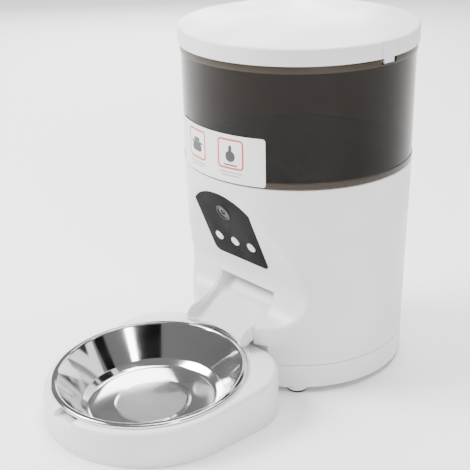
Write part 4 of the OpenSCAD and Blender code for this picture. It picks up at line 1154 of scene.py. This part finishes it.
def label_paper():
    """White label: two red-edged signs, a bowl and a drop, and grey rules, all plain shapes."""
    tree, shader = material("label_paper")
    place = tree.nodes.new("ShaderNodeTexCoord").outputs["Object"]
    split = tree.nodes.new("ShaderNodeSeparateXYZ")
    tree.links.new(place, split.inputs[0])
    depth = math_node(tree, "SUBTRACT", AXIS_Y, split.outputs["Y"])
    turn = math_node(tree, "ARCTAN2", split.outputs["X"], depth)
    u = math_node(tree, "MULTIPLY", turn, BODY_TOP_R)
    middle = (LABEL_LO.z + LABEL_HI.z) / 2
    v = math_node(tree, "SUBTRACT", split.outputs["Z"], middle)

    def inside(distance, edge=0.0):
        """1 where a distance is under an edge."""
        return math_node(tree, "LESS_THAN", distance, edge)

    def over(mask, colour, base):
        """A colour laid over another where the mask is 1."""
        return blend_colours(tree, mask, base, colour)

    tone = colours()
    red, ink, grey = tuple(tone.sign), tuple(tone.ink), tuple(tone.rule)
    colour = tuple(tone.paper)
    for side in (-1, 1):
        at = (side * 20 * MM, 4 * MM)
        sign = rounded_box(tree, u, v, at, (12.5 * MM, 12.5 * MM), 3.5 * MM)
        colour = over(inside(sign), red, colour)
        colour = over(inside(sign, -1.5 * MM), (0.88, 0.88, 0.87), colour)
        if side < 0:
            cup = rounded_box(tree, u, v, (at[0], 1 * MM), (7 * MM, 3.4 * MM), 3.2 * MM)
            rim = rounded_box(tree, u, v, (at[0], 5 * MM), (8.2 * MM, 0.9 * MM), 0.8 * MM)
            food = rounded_box(tree, u, v, (at[0], 7.6 * MM), (4.4 * MM, 1.6 * MM), 1.5 * MM)
            parts = (cup, rim, food)
        else:
            drop = rounded_box(tree, u, v, (at[0], 2 * MM), (4.6 * MM, 4.6 * MM), 4.5 * MM)
            neck = rounded_box(tree, u, v, (at[0], 7 * MM), (1.5 * MM, 4.2 * MM), 1.4 * MM)
            bar = rounded_box(tree, u, v, (at[0], -5.2 * MM), (6.5 * MM, 0.6 * MM), 0.5 * MM)
            parts = (drop, neck, bar)
        for part in parts:
            colour = over(inside(part), ink, colour)
        for row, half in ((-11.5, 11), (-14.0, 8.5)):
            rule = rounded_box(tree, u, v, (at[0], row * MM), (half * MM, 0.55 * MM), 0.5 * MM)
            colour = over(inside(rule), grey, colour)
    tree.links.new(colour, shader.inputs["Base Color"])
    feel = use(tree, "Moulded", Grain=0.05, Scale=900.0)
    tree.links.new(ranged(tree, feel.outputs["Smudge"], 0.42, 0.52), shader.inputs["Roughness"])
    tree.links.new(feel.outputs["Normal"], shader.inputs["Normal"])


def white_buttons():
    """White caps, each with a plain grey mark in its middle."""
    tree, shader = material("white_buttons")
    place = tree.nodes.new("ShaderNodeTexCoord").outputs["Object"]
    shift = tree.nodes.new("ShaderNodeVectorMath")
    shift.operation = "SUBTRACT"
    shift.inputs[1].default_value = button_frames()[1].translation
    tree.links.new(place, shift.inputs[0])
    slope = panel_frame().to_3x3()
    axes = []
    for axis in (slope.col[0], slope.col[1]):
        dot = tree.nodes.new("ShaderNodeVectorMath")
        dot.operation = "DOT_PRODUCT"
        dot.inputs[1].default_value = axis
        tree.links.new(shift.outputs[0], dot.inputs[0])
        axes.append(dot.outputs["Value"])
    u, v = axes
    pitch = shape().button_pitch
    marks = [rounded_box(tree, u, v, (-pitch, 0), (1.7 * MM, 1.2 * MM), 1.0 * MM),
             rounded_box(tree, u, v, (0, 0), (0.45 * MM, 1.7 * MM), 0.4 * MM),
             rounded_box(tree, u, v, (0, 0), (1.7 * MM, 0.45 * MM), 0.4 * MM),
             rounded_box(tree, u, v, (pitch, 0), (1.4 * MM, 1.4 * MM), 1.35 * MM)]
    nearest = marks[0]
    for mark in marks[1:]:
        nearest = math_node(tree, "MINIMUM", nearest, mark)
    ring = math_node(tree, "ABSOLUTE", nearest)
    mask = math_node(tree, "LESS_THAN", ring, 0.22 * MM)
    tone = colours()
    cap = blend_colours(tree, mask, tuple(tone.button), tuple(tone.mark))
    tree.links.new(cap, shader.inputs["Base Color"])
    feel = use(tree, "Moulded", Grain=0.05, Scale=2500.0)
    tree.links.new(ranged(tree, feel.outputs["Smudge"], 0.26, 0.34), shader.inputs["Roughness"])
    tree.links.new(feel.outputs["Normal"], shader.inputs["Normal"])


def make_materials():
    """Every material slot of the record, and the tank's lighter rim, in place of the plain ones."""
    for plain in list(bpy.data.materials):
        bpy.data.materials.remove(plain)
    moulded_group()
    turned_group()
    tone = colours()
    plastic("white_shell", tuple(tone.shell), 0.36)
    plastic("white_inner", tuple(tone.inner), 0.48, 1.4)
    white_buttons()
    plastic("seal_rubber", (0.72, 0.72, 0.71), 0.62, 1.2)
    metal("screw_steel", (0.55, 0.55, 0.56), 0.28)
    smoked("smoked_tank", tuple(tone.tank), 0.02, 0.97, 1.3, 0.3)
    smoked("smoked_rim", tuple(tone.rim), 0.2, 0.3, 1.4, 0.35)
    label_paper()
    plastic("dark_funnel", tuple(tone.funnel), 0.5)
    plastic("wheel_plastic", (0.62, 0.62, 0.6), 0.45)
    plastic("gear_plastic", (0.8, 0.77, 0.68), 0.42)
    metal("brass", (0.72, 0.52, 0.24), 0.25)
    metal("motor_steel", (0.6, 0.6, 0.61), 0.32)
    plastic("black_rubber", tuple(tone.rubber), 0.72, 2.5, 1400.0, Specular_IOR_Level=0.3)
    plastic("fascia_black", tuple(tone.panel), 0.6, 3.0, 3000.0, (0.05, 0.05, 0.05),
            Specular_IOR_Level=0.06)
    plastic("camera_black", (0.014, 0.014, 0.015), 0.38, Specular_IOR_Level=0.3)
    plastic("camera_glass", (0.004, 0.005, 0.009), 0.12, 0.0, 300.0, (0.02, 0.02, 0.02),
            Specular_IOR_Level=0.3)
    plastic("circuit_green", (0.03, 0.17, 0.07), 0.4)
    plastic("chip_black", (0.03, 0.03, 0.032), 0.45)
    plastic("cable_grey", (0.38, 0.38, 0.39), 0.5)
    plastic("cable_red", (0.5, 0.03, 0.03), 0.45)
    plastic("cable_black", (0.02, 0.02, 0.02), 0.45)
    bowl_steel()


def dress_inner_nodes():
    """Gives each CAD node that stays shown its slot's material."""
    for row in frame["record"]["subparts"]:
        node = frame["nodes"][row["node"]]
        node.data.materials.clear()
        node.data.materials.append(bpy.data.materials[row["material_slot"]])


# ---------- stage ----------

def soft_box(name, size, power, place, aim, colour=(1, 1, 1)):
    """A soft rectangular light aimed at a point."""
    data = bpy.data.lights.new(name, "AREA")
    data.shape = "RECTANGLE"
    data.size, data.size_y = size
    data.energy = power
    data.color = colour
    light = bpy.data.objects.new(name, data)
    bpy.context.scene.collection.objects.link(light)
    light.location = place
    light.rotation_euler = (Vector(aim) - Vector(place)).to_track_quat("-Z", "Y").to_euler()


def dark_card(name, size, place, aim):
    """A matt black board that polished and glossy faces pick up."""
    mesh = bpy.data.meshes.new(name)
    x, y = size[0] / 2, size[1] / 2
    mesh.from_pydata([(-x, -y, 0), (x, -y, 0), (x, y, 0), (-x, y, 0)], [], [(0, 1, 2, 3)])
    card = bpy.data.objects.new(name, mesh)
    bpy.context.scene.collection.objects.link(card)
    shader = material(name)[1]
    shader.inputs["Base Color"].default_value = (0.004, 0.004, 0.004, 1)
    shader.inputs["Roughness"].default_value = 0.9
    shader.inputs["Specular IOR Level"].default_value = 0.0
    mesh.materials.append(bpy.data.materials[name])
    card.location = place
    card.rotation_euler = (Vector(aim) - Vector(place)).to_track_quat("-Z", "Y").to_euler()


def make_floor():
    """A wide pale floor."""
    mesh = bpy.data.meshes.new("floor")
    far = 12.0
    mesh.from_pydata([(-far, -far, 0), (far, -far, 0), (far, far, 0), (-far, far, 0)], [], [(0, 1, 2, 3)])
    floor = bpy.data.objects.new("floor", mesh)
    bpy.context.scene.collection.objects.link(floor)
    shader = material("floor_white")[1]
    shader.inputs["Base Color"].default_value = (0.97, 0.97, 0.97, 1)
    shader.inputs["Roughness"].default_value = 0.7
    shader.inputs["Specular IOR Level"].default_value = 0.2
    mesh.materials.append(bpy.data.materials["floor_white"])


def make_world():
    """A bright surround with darker bands low down, which polished steel picks up."""
    world = bpy.data.worlds.new("studio")
    bpy.context.scene.world = world
    world.use_nodes = True
    tree = world.node_tree
    back = tree.nodes["Background"]
    place = tree.nodes.new("ShaderNodeTexCoord").outputs["Generated"]
    split = tree.nodes.new("ShaderNodeSeparateXYZ")
    tree.links.new(place, split.inputs[0])
    ramp = tree.nodes.new("ShaderNodeValToRGB")
    ramp.color_ramp.elements[0].position = 0.0
    ramp.color_ramp.elements[0].color = (0.62, 0.62, 0.63, 1)
    ramp.color_ramp.elements[1].position = 0.85
    ramp.color_ramp.elements[1].color = (0.95, 0.95, 0.97, 1)
    tree.links.new(split.outputs["Z"], ramp.inputs["Fac"])
    tree.links.new(ramp.outputs["Color"], back.inputs["Color"])
    back.inputs["Strength"].default_value = 0.27


def make_camera_view():
    """The camera that sees the feeder as it is usually shown: from its right and above."""
    turn, tilt, roll = math.radians(48.3264), math.radians(22.7484), math.radians(-1.1336)
    back = Vector((math.sin(turn) * math.cos(tilt), -math.cos(turn) * math.cos(tilt), math.sin(tilt)))
    right = (-back).cross(Vector((0, 0, 1))).normalized()
    up = right.cross(-back)
    across = right * math.cos(roll) + up * math.sin(roll)
    upright = up * math.cos(roll) - right * math.sin(roll)
    data = bpy.data.cameras.new("view")
    data.lens = 85.4
    data.sensor_width = 36.0
    camera = bpy.data.objects.new("view", data)
    bpy.context.scene.collection.objects.link(camera)
    place = Vector((0.6457, AXIS_Y - 0.6492, 0.4901))
    matrix = Matrix((across, upright, back)).transposed().to_4x4()
    matrix.translation = place
    camera.matrix_world = matrix
    bpy.context.scene.camera = camera


def make_stage():
    """Floor, surround, lights and camera."""
    make_floor()
    make_world()
    middle = (0, 0, 0.15)
    soft_box("key", (1.0, 1.0), 92, (-1.1, -1.0, 1.5), middle, (1, 0.99, 0.97))
    soft_box("side", (0.25, 1.3), 16, (1.5, -0.5, 0.8), middle)
    soft_box("top", (1.4, 1.4), 70, (0.0, 0.5, 1.9), middle)
    bowl = (0, AXIS_Y - BOWL_REACH, 0.03)
    dark_card("card_high", (0.7, 0.45), (0.85, -0.85, 0.78), bowl)
    dark_card("card_right", (0.22, 0.7), (0.8, 0.35, 0.45), middle)
    soft_box("back", (0.9, 0.5), 13, (-1.2, 0.9, 0.55), bowl)
    make_camera_view()


# ---------- add-on ----------

class FEEDER_OT_materials(bpy.types.Operator):
    """Make every material"""
    bl_idname = "feeder.materials"
    bl_label = "Materials"

    def execute(self, context):
        """Runs the step; a failure raises an error and stops the script."""
        make_materials()
        return {"FINISHED"}


class FEEDER_OT_inner(bpy.types.Operator):
    """Dress the parts inside"""
    bl_idname = "feeder.inner"
    bl_label = "Inner Parts"

    def execute(self, context):
        """Runs the step; a failure raises an error and stops the script."""
        dress_inner_nodes()
        return {"FINISHED"}


class FEEDER_OT_body(bpy.types.Operator):
    """Build the tapered body"""
    bl_idname = "feeder.body"
    bl_label = "Body"

    def execute(self, context):
        """Runs the step; a failure raises an error and stops the script."""
        make_body()
        return {"FINISHED"}


class FEEDER_OT_panel(bpy.types.Operator):
    """Build the dark panel"""
    bl_idname = "feeder.panel"
    bl_label = "Panel"

    def execute(self, context):
        """Runs the step; a failure raises an error and stops the script."""
        make_panel()
        return {"FINISHED"}


class FEEDER_OT_camera(bpy.types.Operator):
    """Build the camera's ring and window"""
    bl_idname = "feeder.camera"
    bl_label = "Camera"

    def execute(self, context):
        """Runs the step; a failure raises an error and stops the script."""
        make_camera()
        return {"FINISHED"}


class FEEDER_OT_buttons(bpy.types.Operator):
    """Build the three buttons"""
    bl_idname = "feeder.buttons"
    bl_label = "Buttons"

    def execute(self, context):
        """Runs the step; a failure raises an error and stops the script."""
        make_buttons()
        return {"FINISHED"}


class FEEDER_OT_lid(bpy.types.Operator):
    """Build the lid and its latches"""
    bl_idname = "feeder.lid"
    bl_label = "Lid"

    def execute(self, context):
        """Runs the step; a failure raises an error and stops the script."""
        make_lid()
        return {"FINISHED"}


class FEEDER_OT_tank(bpy.types.Operator):
    """Build the smoked tank"""
    bl_idname = "feeder.tank"
    bl_label = "Tank"

    def execute(self, context):
        """Runs the step; a failure raises an error and stops the script."""
        make_tank()
        return {"FINISHED"}


class FEEDER_OT_label(bpy.types.Operator):
    """Build the tank's label"""
    bl_idname = "feeder.label"
    bl_label = "Label"

    def execute(self, context):
        """Runs the step; a failure raises an error and stops the script."""
        make_label()
        return {"FINISHED"}


class FEEDER_OT_chute(bpy.types.Operator):
    """Build the chute"""
    bl_idname = "feeder.chute"
    bl_label = "Chute"

    def execute(self, context):
        """Runs the step; a failure raises an error and stops the script."""
        make_chute()
        return {"FINISHED"}


class FEEDER_OT_tray(bpy.types.Operator):
    """Build the tray"""
    bl_idname = "feeder.tray"
    bl_label = "Tray"

    def execute(self, context):
        """Runs the step; a failure raises an error and stops the script."""
        make_tray()
        return {"FINISHED"}


class FEEDER_OT_bowl(bpy.types.Operator):
    """Build the bowl"""
    bl_idname = "feeder.bowl"
    bl_label = "Bowl"

    def execute(self, context):
        """Runs the step; a failure raises an error and stops the script."""
        make_bowl()
        return {"FINISHED"}


class FEEDER_OT_feet(bpy.types.Operator):
    """Build the rubber feet"""
    bl_idname = "feeder.feet"
    bl_label = "Feet"

    def execute(self, context):
        """Runs the step; a failure raises an error and stops the script."""
        make_feet()
        return {"FINISHED"}


class FEEDER_OT_stage(bpy.types.Operator):
    """Set up floor, lights and camera"""
    bl_idname = "feeder.stage"
    bl_label = "Stage"

    def execute(self, context):
        """Runs the step; a failure raises an error and stops the script."""
        make_stage()
        return {"FINISHED"}


OPERATORS = [
    FEEDER_OT_materials, FEEDER_OT_inner, FEEDER_OT_body, FEEDER_OT_panel,
    FEEDER_OT_camera, FEEDER_OT_buttons, FEEDER_OT_lid, FEEDER_OT_tank,
    FEEDER_OT_label, FEEDER_OT_chute, FEEDER_OT_tray, FEEDER_OT_bowl,
    FEEDER_OT_feet, FEEDER_OT_stage,
]


class FEEDER_PT_panel(bpy.types.Panel):
    """Settings and steps of the feeder"""
    bl_label = "Automatic Pet Feeder"
    bl_idname = "FEEDER_PT_panel"
    bl_space_type = "VIEW_3D"
    bl_region_type = "UI"
    bl_category = "Feeder"

    def draw(self, context):
        """Lists the steps, then the sizes."""
        column = self.layout.column()
        for kind in OPERATORS:
            column.operator(kind.bl_idname)
        scene = context.scene
        for settings in (scene.feeder_shape, scene.feeder_colours, scene.feeder_finish):
            for name in settings.bl_rna.properties.keys():
                if name not in ("rna_type", "name"):
                    column.prop(settings, name)


CLASSES = [FeederShape, FeederFinish, FeederColours, *OPERATORS, FEEDER_PT_panel]


def register():
    """Registers the classes and the scene's settings."""
    for kind in CLASSES:
        bpy.utils.register_class(kind)
    bpy.types.Scene.feeder_shape = PointerProperty(type=FeederShape)
    bpy.types.Scene.feeder_finish = PointerProperty(type=FeederFinish)
    bpy.types.Scene.feeder_colours = PointerProperty(type=FeederColours)


def unregister():
    """Takes them away again."""
    del bpy.types.Scene.feeder_colours
    del bpy.types.Scene.feeder_finish
    del bpy.types.Scene.feeder_shape
    for kind in reversed(CLASSES):
        bpy.utils.unregister_class(kind)


def main():
    """Builds the whole feeder."""
    register()
    for kind in OPERATORS:
        name = kind.bl_idname.split(".")[1]
        if getattr(bpy.ops.feeder, name)() != {"FINISHED"}:
            raise RuntimeError(f"{kind.bl_label} did not finish")


if __name__ == "__main__":
    main()
